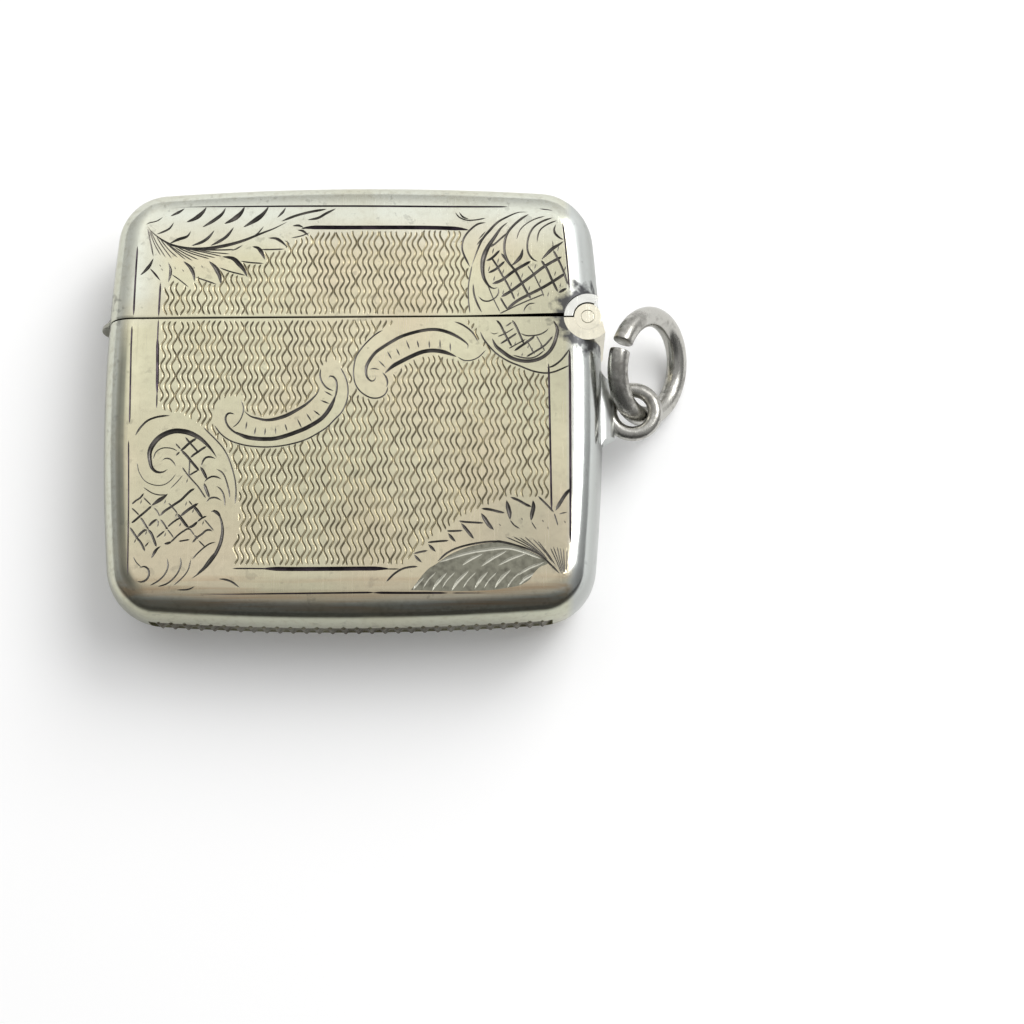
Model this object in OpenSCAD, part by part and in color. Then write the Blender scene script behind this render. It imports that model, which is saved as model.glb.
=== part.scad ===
// Pocket vesta (match) case in silver sheet: two dished halves soldered round the middle, a sprung
// lid hinged at its side, a ridged striker let into the base and a loose ring on a soldered loop.
// It lies on its back: +X to the hinge side, +Y to the lid end, +Z out of the front.

/* [Case] */
// Width across the bowed sides
case_w = 44; // [38:0.5:54]
// Height from the base to the end of the lid
case_h = 39.9; // [35:0.1:56]
// Thickness from back to front
case_t = 9.6; // [8.4:0.2:13]
// Thickness of the silver sheet
wall = 0.5; // [0.4:0.05:0.7]
// Half of the angle that each bowed side turns through
side_turn = 5.4; // [3.5:0.1:7.5]
// Half of the angle that the bowed base and lid end turn through
end_turn = 3.9; // [2.5:0.1:5.5]
// Plan radius of the four corners
corner_r = 4.9; // [3.6:0.1:6.5]
// Plan width of the rolled edge round each flat panel
edge_w = 2.8; // [2.2:0.1:3.4]
// Swell of the side beyond the quarter-round shoulder of the roll
edge_swell = 0.4; // [0.3:0.05:0.8]

/* [Lid] */
// Height of the parting line above the middle of the case
part_y = 7.05; // [5:0.05:10]
// Gap between lid and body when shut
part_gap = 0.1; // [0.06:0.02:0.2]
// Extra gap filed away at the hinge end of the parting line
relief = 0.26; // [0.1:0.02:0.4]
// Length of that filed wedge along the parting line
relief_l = 12; // [6:0.5:18]
// Height of the thumb lip
lip_h = 2.2; // [1.6:0.1:3]
// How far the thumb lip flares out of the side
lip_out = 0.62; // [0.4:0.02:1]
// Plan radius of the thumb lip at its edge
lip_r = 3.2; // [2.6:0.1:4]
// Thickness of the thumb lip at its edge
lip_t = 0.3; // [0.2:0.05:0.5]

/* [Hinge] */
// Distance of the pin from the outermost point of the side
pin_in = 1.3; // [1:0.1:1.8]
// Diameter of the hinge pin
pin_d = 1.14; // [0.9:0.02:1.3]
// Outer diameter of the knuckle tubes
knuckle_d = 2.36; // [2.1:0.02:2.6]
// Radius of the hinge bearers round the pin
bearer_r = 2.1; // [1.8:0.05:2.5]
// How far the body bearer reaches out past the pin
ear_out = 1.52; // [1.3:0.02:1.8]
// Drop from the pin's level to the top of the body bearer's outer flank
ear_drop = 0.45; // [0.4:0.05:0.8]
// Angle above the pin's level at which the lid bearer stops
lid_stop = 62; // [50:1:75]
// Set-back of the hinge's end faces from the front and the back
hinge_set = 0.3; // [0.2:0.05:0.6]
// Length of the lid's knuckle
lid_knuckle_l = 3; // [2:0.1:4]
// Gap between the ends of neighbouring knuckles
knuckle_gap = 0.05; // [0.03:0.01:0.1]
// Running gap round a knuckle where the other bearer passes
turn_gap = 0.1; // [0.06:0.02:0.16]
// Gap round the pin in the lid's knuckle
pin_gap = 0.04; // [0.02:0.01:0.06]
// Gap round the pin in the body's knuckles
pin_seat_gap = 0.02; // [0.01:0.01:0.03]

/* [Spring] */
// Thickness of the leaf spring
spring_t = 0.3; // [0.2:0.02:0.4]
// Width of the leaf spring along the pin
spring_w = 2.2; // [1.6:0.1:2.6]
// Lean of the leaf from upright
spring_lean = 25; // [20:1:30]
// Length of its foot along the inside of the wall
spring_foot = 4; // [3:0.2:6]
// Gap of the leaf to the turning knuckle
spring_gap = 0.07; // [0.05:0.01:0.12]
// Solder between the foot and the wall
spring_seat = 0.01; // [0.01:0.01:0.05]
// Depth of the flat on the lid's knuckle that the leaf snaps onto
flat_cut = 0.13; // [0.08:0.01:0.2]

/* [Striker] */
// Length of the striker strip in the base
strike_l = 35; // [24:0.5:38]
// Width of the striker strip
strike_w = 2.4; // [2:0.2:5]
// How far its ridges stand out of the base
strike_out = 0.06; // [0.02:0.02:0.3]
// Pitch of the ridges
strike_pitch = 1.15; // [0.8:0.05:1.6]
// Depth of the cuts between the ridges
strike_cut = 0.3; // [0.2:0.02:0.4]

/* [Ring] */
// Height of the ring's loop above the middle of the case
loop_y = -0.4; // [-4:0.1:1]
// Radius of the loop to the middle of its wire
loop_r = 2; // [1.9:0.05:2.05]
// Diameter of the loop's wire
loop_wire = 1.3; // [1.1:0.05:1.3]
// Distance of the loop's centre out from the side
loop_out = 2.7; // [2.7:0.02:3.1]
// Half length of the boss along its crest
boss_r = 2.5; // [2.1:0.05:3]
// Radius of the hollow ends of the boss
boss_fillet = 1.3; // [1:0.05:1.5]
// Radius of the half-round section of the boss
boss_round = 1.75; // [1.6:0.05:2.2]
// How far the boss stands out of the side
boss_out = 1.1; // [0.85:0.05:1.2]
// Radius of the jump ring to the middle of its wire
ring_r = 4.45; // [4:0.05:5]
// Diameter of the jump ring's wire
ring_wire = 1.8; // [1.4:0.05:1.9]
// Tilt of the jump ring out of the plane of the case
ring_tilt = 54; // [45:1:60]
// Lean of the jump ring from upright
ring_lean = 18.5; // [10:0.5:25]
// Dip of the jump ring's far end towards the surface that the case lies on
ring_dip = 3.5; // [2:0.5:6]
// Open joint of the jump ring, as an angle
ring_split = 10; // [4:1:14]
// Place of that joint round the ring
ring_split_at = 182; // [120:1:200]

/* [Hidden] */
$fn = 96;
fine = 720;
silver = [0.80, 0.79, 0.75];
bright = [0.88, 0.88, 0.86];
dull = [0.62, 0.60, 0.55];
steel = [0.45, 0.46, 0.48];
half_t = case_t / 2;
roll_r = edge_w - edge_swell;
flat_in = corner_r - edge_w;
side_roll = pow(half_t - edge_w, 2) / (2 * edge_swell) + half_t;
// Angle by which neighbouring sweeps of the edge run into each other
seam_lap = 0.000002;
// Arms from the arcs' centres to the corner's, so that side, corner and end run into each other
reach_x = case_w / 2 - corner_r;
reach_y = case_h / 2 - corner_r;
side_sag = 1 - cos(side_turn);
end_sag = 1 - cos(end_turn);
turns = side_sag * end_sag - sin(side_turn) * sin(end_turn);
side_arm = (reach_x * end_sag - reach_y * sin(end_turn)) / turns;
end_arm = (reach_y * side_sag - reach_x * sin(side_turn)) / turns;
side_r = side_arm + corner_r;
end_r = end_arm + corner_r;
side_c = case_w / 2 - side_r;
end_c = case_h / 2 - end_r;
corner_x = end_arm * sin(end_turn);
corner_y = side_arm * sin(side_turn);
pin_x = case_w / 2 - pin_in;
pin_r = pin_d / 2;
knuckle_r = knuckle_d / 2;
hinge_l = case_t - 2 * hinge_set;
ear_foot = [ear_out, -sqrt(bearer_r * bearer_r - ear_out * ear_out)];
ear_top = [knuckle_r - (ear_out - knuckle_r) * ear_drop / ear_foot.y, -ear_drop];
lid_knuckle_z = half_t - lid_knuckle_l / 2;
body_knuckle_l = (hinge_l - lid_knuckle_l) / 2 - knuckle_gap;
spring_dir = 180 + spring_lean;
strike_n = floor(strike_l / strike_pitch / 2 - 0.5);
loop_x = case_w / 2 + loop_out;
boss_x = case_w / 2 + boss_out;

// Moves in a coarse, a middle and a fine step, which keeps long decimals exact
function coarse(v) = floor(v);
function middle(v) = floor((v - floor(v)) * 1000) / 1000;
function fine_part(v) = v - coarse(v) - middle(v);
module move_to(x, y)
    translate([coarse(x), coarse(y), 0])
        translate([middle(x), middle(y), 0])
            translate([fine_part(x), fine_part(y), 0])
                children();

// Half of the edge's section: flat up to the border, quarter-round shoulder, then a nearly upright side
module edge_area(inset, low, back) {
    shoulder = [0, half_t - roll_r];
    meet = shoulder + 2 * [side_roll - edge_w, half_t - roll_r];
    translate([-back, low])
        square([back, half_t - inset - low]);
    intersection() {
        translate(shoulder)
            circle(r = roll_r - inset);
        polygon([shoulder, meet, [meet.x, meet.y + case_t], [0, meet.y + case_t]]);
    }
    intersection() {
        translate([edge_w - side_roll, 0])
            circle(r = side_roll - inset, $fn = 2 * $fn);
        polygon([[0, low], [meet.x, low], meet, shoulder]);
    }
}

// The sheet's thickness in that section, with some of the flat behind the border
module edge_sheet(back)
    difference() {
        edge_area(0, 0, back);
        edge_area(wall, -wall, back + wall);
    }

// The edge's sheet swept about a centre, as far round as that edge's arc turns and a hair more
module swept_edge(r, from, turn, facets, back)
    rotate_extrude(start = from - seam_lap, angle = turn + 2 * seam_lap, $fn = facets)
        move_to(r - edge_w, 0)
            edge_sheet(back);

module side_wall()
    move_to(side_c, 0)
        swept_edge(side_r, -side_turn, 2 * side_turn, fine, flat_in);

module end_wall()
    move_to(0, end_c)
        swept_edge(end_r, 90 - end_turn, 2 * end_turn, fine, flat_in);

module corner_wall()
    move_to(corner_x, corner_y)
        swept_edge(corner_r, side_turn, 90 - side_turn - end_turn, $fn, flat_in * 3 / 4);

// Flat panel inside the rolled edge, which overlaps the flats of the edge pieces
module panel() {
    lap = flat_in / 2;
    translate([0, 0, half_t - wall])
        linear_extrude(wall)
            intersection() {
                for_both_x()
                    translate([side_c, 0])
                        circle(r = side_arm + lap, $fn = fine);
                for_both_y()
                    translate([0, end_c])
                        circle(r = end_arm + lap, $fn = fine);
            }
}

module for_both_x()
    intersection() {
        children();
        mirror([1, 0, 0])
            children();
    }

module for_both_y()
    intersection() {
        children();
        mirror([0, 1, 0])
            children();
    }

// One end of a dished half, open at the middle of the thickness: flat, rolled end, corners, then sides
module dish()
    union() {
        union() {
            union() {
                union() {
                    union() {
                        panel();
                        end_wall();
                    }
                    corner_wall();
                }
                mirror([1, 0, 0])
                    corner_wall();
            }
            side_wall();
        }
        mirror([1, 0, 0])
            side_wall();
    }

// The lid's end or the base's end, of the front or the back half
module half_case(lid, front)
    translate([0, 0, half_t])
        mirror([0, 0, front ? 0 : 1])
            mirror([0, lid ? 0 : 1, 0])
                dish();

// Upright run of the skin at one height of the side, as a straight round bar that touches it there
module skin_bar(y)
    move_to(side_c, 0)
        rotate(asin(y / side_r))
            move_to(side_r - side_roll, 0)
                translate([0, 0, half_t])
                    rotate([90, 0, 0])
                        cylinder(r = side_roll, h = case_h, center = true, $fn = 2 * $fn);

module below_parting()
    translate([-case_w, part_y - part_gap / 2 - 2 * case_h, -case_t])
        cube([2 * case_w, 2 * case_h, 3 * case_t]);

module above_parting()
    translate([-case_w, part_y + part_gap / 2, -case_t])
        cube([2 * case_w, 2 * case_h, 3 * case_t]);

module at_pin(z)
    translate([pin_x, part_y, z])
        children();

// Round notch that takes the hinge bearers
module hinge_notch()
    at_pin(-case_t)
        cylinder(r = bearer_r, h = 3 * case_t);

// Wedge filed off the lid's edge towards the hinge
module hinge_relief()
    translate([pin_x - relief_l, part_y + part_gap / 2, -case_t])
        linear_extrude(3 * case_t)
            polygon([[0, 0], [relief_l * 2, -relief], [relief_l * 2, relief * 2]]);

module strike_slot()
    translate([-strike_l / 2, -case_h / 2 - end_r / 100, half_t - strike_w / 2])
        cube([strike_l, end_r / 100 + wall * 2.2, strike_w]);

module body_shell(front)
    difference() {
        intersection() {
            half_case(false, front);
            below_parting();
        }
        hinge_notch();
        strike_slot();
    }

module lid_shell(front)
    difference() {
        intersection() {
            half_case(true, front);
            above_parting();
        }
        hinge_notch();
        hinge_relief();
    }

module body_front_shell()
    color(silver)
        body_shell(true);

module body_back_shell()
    color(silver)
        body_shell(false);

module lid_front_shell()
    color(silver)
        lid_shell(true);

module lid_back_shell()
    color(silver)
        lid_shell(false);

// Strip bowed like the base, with saw cuts across it for striking
module striker_plate()
    color(dull)
        translate([0, 0, half_t - strike_w / 2])
            linear_extrude(strike_w)
                polygon(concat(
                    [strike_point(-strike_l / 2, -wall)],
                    [for (i = [-strike_n:strike_n], k = [-1, -0.3, 0.3, 1])
                        strike_point((i + 0.44 * k) * strike_pitch,
                                     abs(k) < 1 ? strike_out - strike_cut : strike_out)],
                    [strike_point(strike_l / 2, -wall)],
                    [for (i = [strike_n:-1:-strike_n]) strike_point(i * strike_pitch, -wall)]
                ));

// Point on the base at a distance along it, and so far out of it
function strike_point(along, out) =
    (end_r + out) * [sin(along / end_r * 180 / PI), -cos(along / end_r * 180 / PI)] + [0, -end_c];

// Soldered block under the pin: seats both body knuckles and lets the lid's knuckle turn
module body_hinge_bearer()
    color(bright)
        at_pin(hinge_set)
            difference() {
                linear_extrude(hinge_l)
                    difference() {
                        intersection() {
                            circle(r = bearer_r);
                            translate([-bearer_r * 2, -bearer_r * 2])
                                square([bearer_r * 2 + ear_out, bearer_r * 2 - part_gap / 2]);
                        }
                        circle(r = knuckle_r);
                        polygon([[0, bearer_r], [0, -ear_drop], ear_top, ear_foot,
                                 [2 * bearer_r, ear_foot.y], [2 * bearer_r, bearer_r]]);
                    }
                translate([0, 0, lid_knuckle_z - hinge_set - knuckle_gap]) {
                    cylinder(r = knuckle_r + turn_gap, h = lid_knuckle_l + 2 * knuckle_gap);
                    rotate(spring_dir)
                        translate([knuckle_r + spring_gap / 2, -2 * bearer_r, 0])
                            cube([2 * bearer_r, 4 * bearer_r, lid_knuckle_l + 2 * knuckle_gap]);
                }
            }

module knuckle(z, l, gap)
    at_pin(z)
        linear_extrude(l)
            difference() {
                circle(r = knuckle_r);
                circle(r = pin_r + gap);
            }

module body_knuckle_front()
    color(bright)
        knuckle(case_t - hinge_set - body_knuckle_l, body_knuckle_l, pin_seat_gap);

module body_knuckle_rear()
    color(bright)
        knuckle(hinge_set, body_knuckle_l, pin_seat_gap);

module hinge_pin()
    color(dull)
        at_pin(hinge_set)
            cylinder(r = pin_r, h = hinge_l);

// Soldered saddle over the pin: clears the body knuckles and seats the lid's knuckle
module lid_hinge_bearer()
    color(bright)
        at_pin(hinge_set)
            difference() {
                linear_extrude(hinge_l)
                    difference() {
                        intersection() {
                            circle(r = bearer_r);
                            translate([-bearer_r * 2, part_gap / 2])
                                square([bearer_r * 4, bearer_r * 2]);
                        }
                        circle(r = knuckle_r);
                        polygon([[0, 0], [2 * bearer_r, 0], 2 * bearer_r * [cos(lid_stop), sin(lid_stop)]]);
                    }
                for (z = [-hinge_set, lid_knuckle_z - hinge_set + lid_knuckle_l])
                    translate([0, 0, z])
                        cylinder(r = knuckle_r + turn_gap, h = lid_knuckle_z);
            }

module lid_knuckle()
    color(bright)
        difference() {
            knuckle(lid_knuckle_z, lid_knuckle_l, pin_gap);
            at_pin(0)
                rotate(spring_dir)
                    translate([knuckle_r - flat_cut, -knuckle_r, 0])
                        cube([2 * knuckle_r, 2 * knuckle_r, case_t]);
        }

// Leaf that leans on the lid's knuckle, with a foot soldered along the inside of the wall
module lid_spring()
    color(steel)
        translate([0, 0, half_t - spring_w / 2])
            linear_extrude(spring_w)
                spring_outline();

module spring_outline() {
    // Face of the leaf nearest the pin, and the inside of the wall at the leaf's edges
    reach = knuckle_r + spring_gap;
    near = reach * [cos(spring_dir), sin(spring_dir)];
    foot_y = part_y + near.y - spring_foot * 2;
    wall_x = side_c + (side_r - wall) * cos(asin(foot_y / side_r))
        - side_roll + wall + sqrt(pow(side_roll - wall, 2) - pow(spring_w / 2, 2)) - spring_seat;
    drop = (wall_x - pin_x - near.x) / sin(spring_lean);
    rise = (-near.y - part_gap) / cos(spring_lean) - spring_t * tan(spring_lean);
    knee_y = part_y + near.y - drop * cos(spring_lean);
    intersection() {
        translate([pin_x, part_y])
            rotate(spring_dir)
                translate([reach, -rise])
                    square([spring_t, rise + 2 * drop]);
        translate([pin_x - case_w, part_y - case_h])
            square([case_w + wall_x - pin_x, case_h]);
    }
    translate([wall_x - spring_t, knee_y - spring_foot])
        square([spring_t, spring_foot]);
}

// Half-round bar soldered along the side, with hollow ends, cut to take the loop's wire
module ring_boss()
    color(bright)
        difference() {
            intersection() {
                translate([0, loop_y, half_t - boss_round])
                    linear_extrude(2 * boss_round)
                        boss_outline();
                translate([boss_x - boss_round, loop_y, half_t])
                    rotate([90, 0, 0])
                        cylinder(r = boss_round, h = 4 * boss_r, center = true);
            }
            skin_bar(loop_y);
            ring_loop_wire();
        }

module boss_outline() {
    root = case_w / 2 - edge_w;
    difference() {
        translate([root, -boss_r - boss_fillet])
            square([boss_x - root, 2 * (boss_r + boss_fillet)]);
        for (m = [0, 1])
            mirror([0, m])
                translate([boss_x, boss_r + boss_fillet])
                    circle(r = boss_fillet);
    }
}

module ring_loop_wire()
    translate([loop_x, loop_y, half_t])
        rotate_extrude()
            translate([loop_r, 0])
                circle(r = loop_wire / 2);

module ring_loop()
    color(dull)
        ring_loop_wire();

// Flared crescent soldered to the lid's side, for the thumbnail
module thumb_lip()
    color(bright)
        difference() {
            translate([-case_w / 2 - lip_out + lip_r, part_y + part_gap / 2, half_t])
                rotate([-90, 0, 0])
                    rotate_extrude()
                        lip_outline();
            mirror([1, 0, 0])
                skin_bar(part_y + lip_h / 2);
        }

// Section of the lip from its middle: its hollow face runs into the skin at the top
module lip_outline() {
    sunk = 0.5 * pow(part_y + lip_h, 2) / side_r;
    flare = lip_out + sunk * 1.2;
    rise = lip_h - lip_t;
    hollow = (flare * flare + rise * rise) / (2 * flare);
    difference() {
        square([lip_r, lip_h]);
        translate([lip_r - flare + hollow, lip_h])
            circle(r = hollow);
    }
}

// Open ring of round wire, fallen to one side in the loop
module jump_ring()
    color(dull)
        translate([loop_x, loop_y, half_t])
            rotate([0, 0, -ring_lean])
                rotate([-ring_dip, 0, 0])
                    translate([0, ring_r, 0])
                        rotate([0, ring_tilt, 0])
                            rotate_extrude(start = ring_split_at + ring_split / 2, angle = 360 - ring_split)
                                translate([ring_r, 0])
                                    circle(r = ring_wire / 2);

body_front_shell();
body_back_shell();
striker_plate();
body_hinge_bearer();
body_knuckle_front();
body_knuckle_rear();
hinge_pin();
lid_spring();
ring_boss();
ring_loop();
lid_front_shell();
lid_back_shell();
thumb_lip();
lid_hinge_bearer();
lid_knuckle();
jump_ring();
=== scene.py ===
# %% [markdown]
# # A silver vesta case
# A vesta case is a small pocket box for wax matches. This one is made of two dished halves of thin silver sheet,
# soldered together round the middle of the edge and then sawn across, so that the upper part is a lid on a sprung
# hinge. The imported model gives every piece its place, and this script gives each piece its finish: softened edges,
# engraving cut into the metal, tarnish, solder stains and wear, and in places painted light and shade.

# %% The imported model
import math

import bmesh
import bpy
import numpy
from mathutils import Matrix, Vector


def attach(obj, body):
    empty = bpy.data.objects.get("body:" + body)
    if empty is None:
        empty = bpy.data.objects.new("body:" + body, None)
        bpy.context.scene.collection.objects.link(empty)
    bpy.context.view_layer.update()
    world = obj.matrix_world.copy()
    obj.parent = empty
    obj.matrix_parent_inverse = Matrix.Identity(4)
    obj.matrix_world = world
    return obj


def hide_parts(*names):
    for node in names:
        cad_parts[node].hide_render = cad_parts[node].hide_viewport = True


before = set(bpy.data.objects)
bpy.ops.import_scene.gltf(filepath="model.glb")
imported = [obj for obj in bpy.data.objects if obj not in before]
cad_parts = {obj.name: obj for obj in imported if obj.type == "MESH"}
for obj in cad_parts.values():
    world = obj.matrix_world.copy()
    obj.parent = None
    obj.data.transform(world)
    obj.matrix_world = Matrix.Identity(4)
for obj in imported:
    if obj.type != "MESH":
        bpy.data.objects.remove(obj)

mm = 0.001
scene = bpy.context.scene
scene.view_settings.view_transform = "Standard"
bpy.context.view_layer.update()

# %% [markdown]
# ## The camera
# The case lies on its back and is seen from above, a little from the base's side and from right of its middle.
# Place, tilt and lens were fitted to the outline, so a point of the picture can be carried back onto the front
# panel. The ornament uses that later: its strokes are noted where the eye sees them and laid on the metal.

# %% Camera
picture_px, focal_px, film_mm = 1024, 2186, 36
case_t = 9.6
eye = bpy.data.objects.new("eye", bpy.data.cameras.new("eye"))
scene.collection.objects.link(eye)
scene.camera = eye
eye.data.sensor_width = film_mm
eye.data.lens = film_mm * focal_px / picture_px
eye.data.clip_start = 0.01
eye.rotation_mode = "ZYX"
eye.rotation_euler = [math.radians(a) for a in (12.0, 0.77, -0.29)]
eye.location = Vector((16.57, -49.32, 192.53)) * mm
bpy.context.view_layer.update()


def on_panel(px, py):
    """Place in millimetres on the front panel that shows at a point of the picture."""
    turn, start = eye.matrix_world.to_3x3(), eye.matrix_world.translation / mm
    middle = picture_px / 2
    ray = turn @ Vector(((px - middle) / focal_px, (middle - py) / focal_px, -1))
    return start + ray * ((case_t - start.z) / ray.z)


print("middle of the picture on the panel", [round(v, 2) for v in on_panel(picture_px / 2, picture_px / 2)])

# %% [markdown]
# ## The sky
# Polished silver shows what stands around it, so the surroundings matter as much as the metal. Under an even
# white sky it looks like chalk. This sky is bright over the lid's end and falls off towards the base, and from
# left to right it has a dim band and a brighter strip, which draw the streaks along the rolled edges. Two ramps
# over the direction of view make it. The camera itself sees plain white.

# %% Node helpers and sky
def put(tree, kind, inputs=(), **settings):
    """Adds a node, sets its options, and sets or links its inputs."""
    node = tree.nodes.new("ShaderNode" + kind)
    for key, value in settings.items():
        setattr(node, key, value)
    for key, value in dict(inputs).items():
        if isinstance(value, bpy.types.NodeSocket):
            tree.links.new(value, node.inputs[key])
        else:
            node.inputs[key].default_value = value
    return node


def maths(tree, operation, a, b=0.0, c=0.0):
    """Result of one sum on numbers or sockets."""
    return put(tree, "Math", {0: a, 1: b, 2: c}, operation=operation).outputs[0]


def times(tree, a, b):
    """Product of two values."""
    return maths(tree, "MULTIPLY", a, b)


def steps(tree, value, stops):
    """Grey ramp over a value from 0 to 1, with a stop at each given place."""
    ramp = put(tree, "ValToRGB", {0: value})
    band = ramp.color_ramp.elements
    while len(band) < len(stops):
        band.new(0.5)
    for stop, (place, level) in zip(band, stops):
        stop.position, stop.color = place, (level, level, level, 1)
    return ramp.outputs[0]


base_to_lid = [(0, 0.09), (0.08, 0.1), (0.14, 0.17), (0.22, 0.36), (0.36, 0.42), (0.48, 0.48), (0.585, 0.66),
               (0.63, 0.85), (0.655, 1.05), (0.81, 0.94), (0.92, 0.75), (1, 0.55)]
left_to_right = [(0, 0.55), (0.04, 0.53), (0.085, 0.48), (0.16, 0.6), (0.25, 0.82), (0.33, 1.1), (0.38, 1.08),
                 (0.42, 0.94), (0.5, 0.98), (0.85, 1), (0.95, 0.62), (1, 0.5)]
white = (1, 1, 1, 1)
scene.world = bpy.data.worlds.new("sky")
scene.world.use_nodes = True
sky = scene.world.node_tree
sky.nodes.clear()
looking = put(sky, "SeparateXYZ", {0: put(sky, "TexCoord").outputs["Generated"]}).outputs
sideways, lengthways = (maths(sky, "MULTIPLY_ADD", looking[i], 0.5, 0.5) for i in (0, 1))
level = times(sky, steps(sky, lengthways, base_to_lid), steps(sky, sideways, left_to_right))
around = put(sky, "Background", {"Color": white, "Strength": level}).outputs[0]
beyond = put(sky, "Background", {"Color": white, "Strength": 1.0}).outputs[0]
seen = put(sky, "LightPath").outputs["Is Camera Ray"]
put(sky, "OutputWorld", {0: put(sky, "MixShader", {0: seen, 1: around, 2: beyond}).outputs[0]})
print("sky in", len(base_to_lid), "steps from base to lid and", len(left_to_right), "from left to right")

# %% [markdown]
# ## Lamps and floor
# One soft lamp on the right draws the white streak along that edge. A second one behind the lid whitens the floor
# and throws the shadow forward; it is hidden from reflections. The floor is matt white and lifted a little for the
# camera. Reflections see it go dark a little way in front of the base, as a table does that lies in the viewer's
# shadow, so the rolled edge there mirrors a dark room.

# %% Lamps and floor
def blend(tree, amount, low, high):
    """Mixes two colours by an amount."""
    return put(tree, "Mix", {0: amount, 6: low, 7: high}, data_type="RGBA").outputs[2]


def spread(tree, value, low, high, from_low=0.3, from_high=0.7):
    """Carries a value from one range to another."""
    return put(tree, "MapRange", {0: value, 1: from_low, 2: from_high, 3: low, 4: high}).outputs[0]


lamp_size, lamp_away = 0.4, 0.7
for name, watts, way in (("side_lamp", 1.7, (0.55, 0.3, 0.78)), ("back_lamp", 2.2, (0.45, 0.65, 0.6))):
    lamp = bpy.data.objects.new(name, bpy.data.lights.new(name, "AREA"))
    lamp.data.size, lamp.data.energy = lamp_size, watts
    lamp.location = Vector(way) * lamp_away
    lamp.rotation_mode = "QUATERNION"
    lamp.rotation_quaternion = lamp.location.to_track_quat("Z", "Y")
    lamp.visible_glossy = name == "side_lamp"
    scene.collection.objects.link(lamp)

floor_size, floor_lift = 0.5, 0.1
floor_white, floor_dark = (0.93, 0.93, 0.93, 1), (0.06, 0.06, 0.06, 1)
dark_from, dark_to = -27 * mm, -38 * mm
floor_paint = bpy.data.materials.new("floor_paint")
floor_paint.use_nodes = True
paint = floor_paint.node_tree
paint.nodes.clear()
ray_kind = put(paint, "LightPath").outputs
lift = put(paint, "Emission", {"Color": white, "Strength": times(paint, ray_kind["Is Camera Ray"], floor_lift)})
forward = put(paint, "SeparateXYZ", {0: put(paint, "TexCoord").outputs["Object"]}).outputs[1]
# Painted shadow: for reflections only, the floor turns dark from 27 to 38 mm in front of the base
painted_shadow_ahead = times(paint, spread(paint, forward, 1, 0, dark_to, dark_from), ray_kind["Is Glossy Ray"])
matt = put(paint, "BsdfDiffuse", {"Color": blend(paint, painted_shadow_ahead, floor_white, floor_dark)})
put(paint, "OutputMaterial", {0: put(paint, "AddShader", {0: matt.outputs[0], 1: lift.outputs[0]}).outputs[0]})

ground = bmesh.new()
bmesh.ops.create_grid(ground, x_segments=1, y_segments=1, size=floor_size)
floor = bpy.data.objects.new("floor", bpy.data.meshes.new("floor"))
ground.to_mesh(floor.data)
ground.free()
floor.data.materials.append(floor_paint)
scene.collection.objects.link(floor)
print("floor and two lamps, the last of", round(lamp.data.energy, 1), "W")

# %% [markdown]
# ## Silver that has been handled
# Old silver is never one colour. Sulphur in the air turns it champagne and then brown where no hand wipes it,
# while the edges that rub in a pocket stay whiter. So every metal here starts from the same patterns: a slow noise
# that moves the tone about, a fine grain, soft dents, and a stretched noise for the hair scratches that years of
# polishing cloths have drawn.

# %% Shared wear patterns
middle_z = case_t / 2 * mm
hair_runs = (0.5, (9000, 130, 130)), (1.9, (11000, 190, 190)), (-0.9, (7000, 110, 110))


def noise(tree, place, scale, detail):
    """Cloudy pattern over a place."""
    return put(tree, "TexNoise", {"Vector": place, "Scale": scale, "Detail": detail}).outputs[0]


def wear(name):
    """A new metal, with places, slow cloudiness, grain, dents and hair scratches ready to use."""
    material = bpy.data.materials.new(name)
    material.use_nodes = True
    tree = material.node_tree
    spot = put(tree, "TexCoord").outputs["Object"]
    at = {"spot": spot}
    for key, scale, detail in (("cloud", 170, 4), ("grain", 1900, 5), ("dent", 420, 2)):
        at[key] = noise(tree, spot, scale, detail)
    hairs = []
    for turn, scale in hair_runs:
        place = put(tree, "Mapping", {"Vector": spot, "Rotation": (0, 0, turn), "Scale": scale}).outputs[0]
        hairs.append(spread(tree, noise(tree, place, 1.0, 1.0), 0, 1, 0.66, 0.74))
    at["hairs"] = maths(tree, "MAXIMUM", hairs[0], maths(tree, "MAXIMUM", hairs[1], hairs[2]))
    shader = tree.nodes["Principled BSDF"]
    shader.inputs["Metallic"].default_value = 1.0
    return material, tree, shader, at


def add_places(tree, at):
    """Adds X, Y and the height off the middle of the thickness."""
    at["x"], at["y"], height = put(tree, "SeparateXYZ", {0: at["spot"]}).outputs
    at["off_middle"] = maths(tree, "ABSOLUTE", maths(tree, "SUBTRACT", height, middle_z))


def relief(tree, shader, layers):
    """Stacks bumps, each a height and how deep it is in metres."""
    normal = None
    for height, depth in layers:
        bump = put(tree, "Bump", {"Height": height, "Distance": depth})
        if normal is not None:
            tree.links.new(normal, bump.inputs["Normal"])
        normal = bump.outputs[0]
    tree.links.new(normal, shader.inputs["Normal"])


print("wear with", len(hair_runs), "runs of hair scratches")

# %% [markdown]
# ## Tones of the engraved sheets
# The sheets were rubbed by thumbs and a pocket for years, so their tone depends on the place, and part of that tone is
# painted light. The lid's end and its left side are painted whiter as a reflection of the bright sky. The lower side
# of the rolled edge and a band on the body's left shoulder are painted darker as shade, where they mirror dark
# surroundings. The material asks where a point lies: on the flat or on the rolled edge, at the lid's end, or at the
# base. Each answer is a ramp over one coordinate, and each ramp mixes in one more tone. A painted picture could do the
# same, but ramps stay sharp at any distance and need no file.

# %% Flat, edge, streaks and shoulder
def ramp(tree, value, start, stop, low=0, high=1):
    """Goes from low to high between two places in millimetres."""
    return spread(tree, value, low, high, start * mm, stop * mm)


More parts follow.
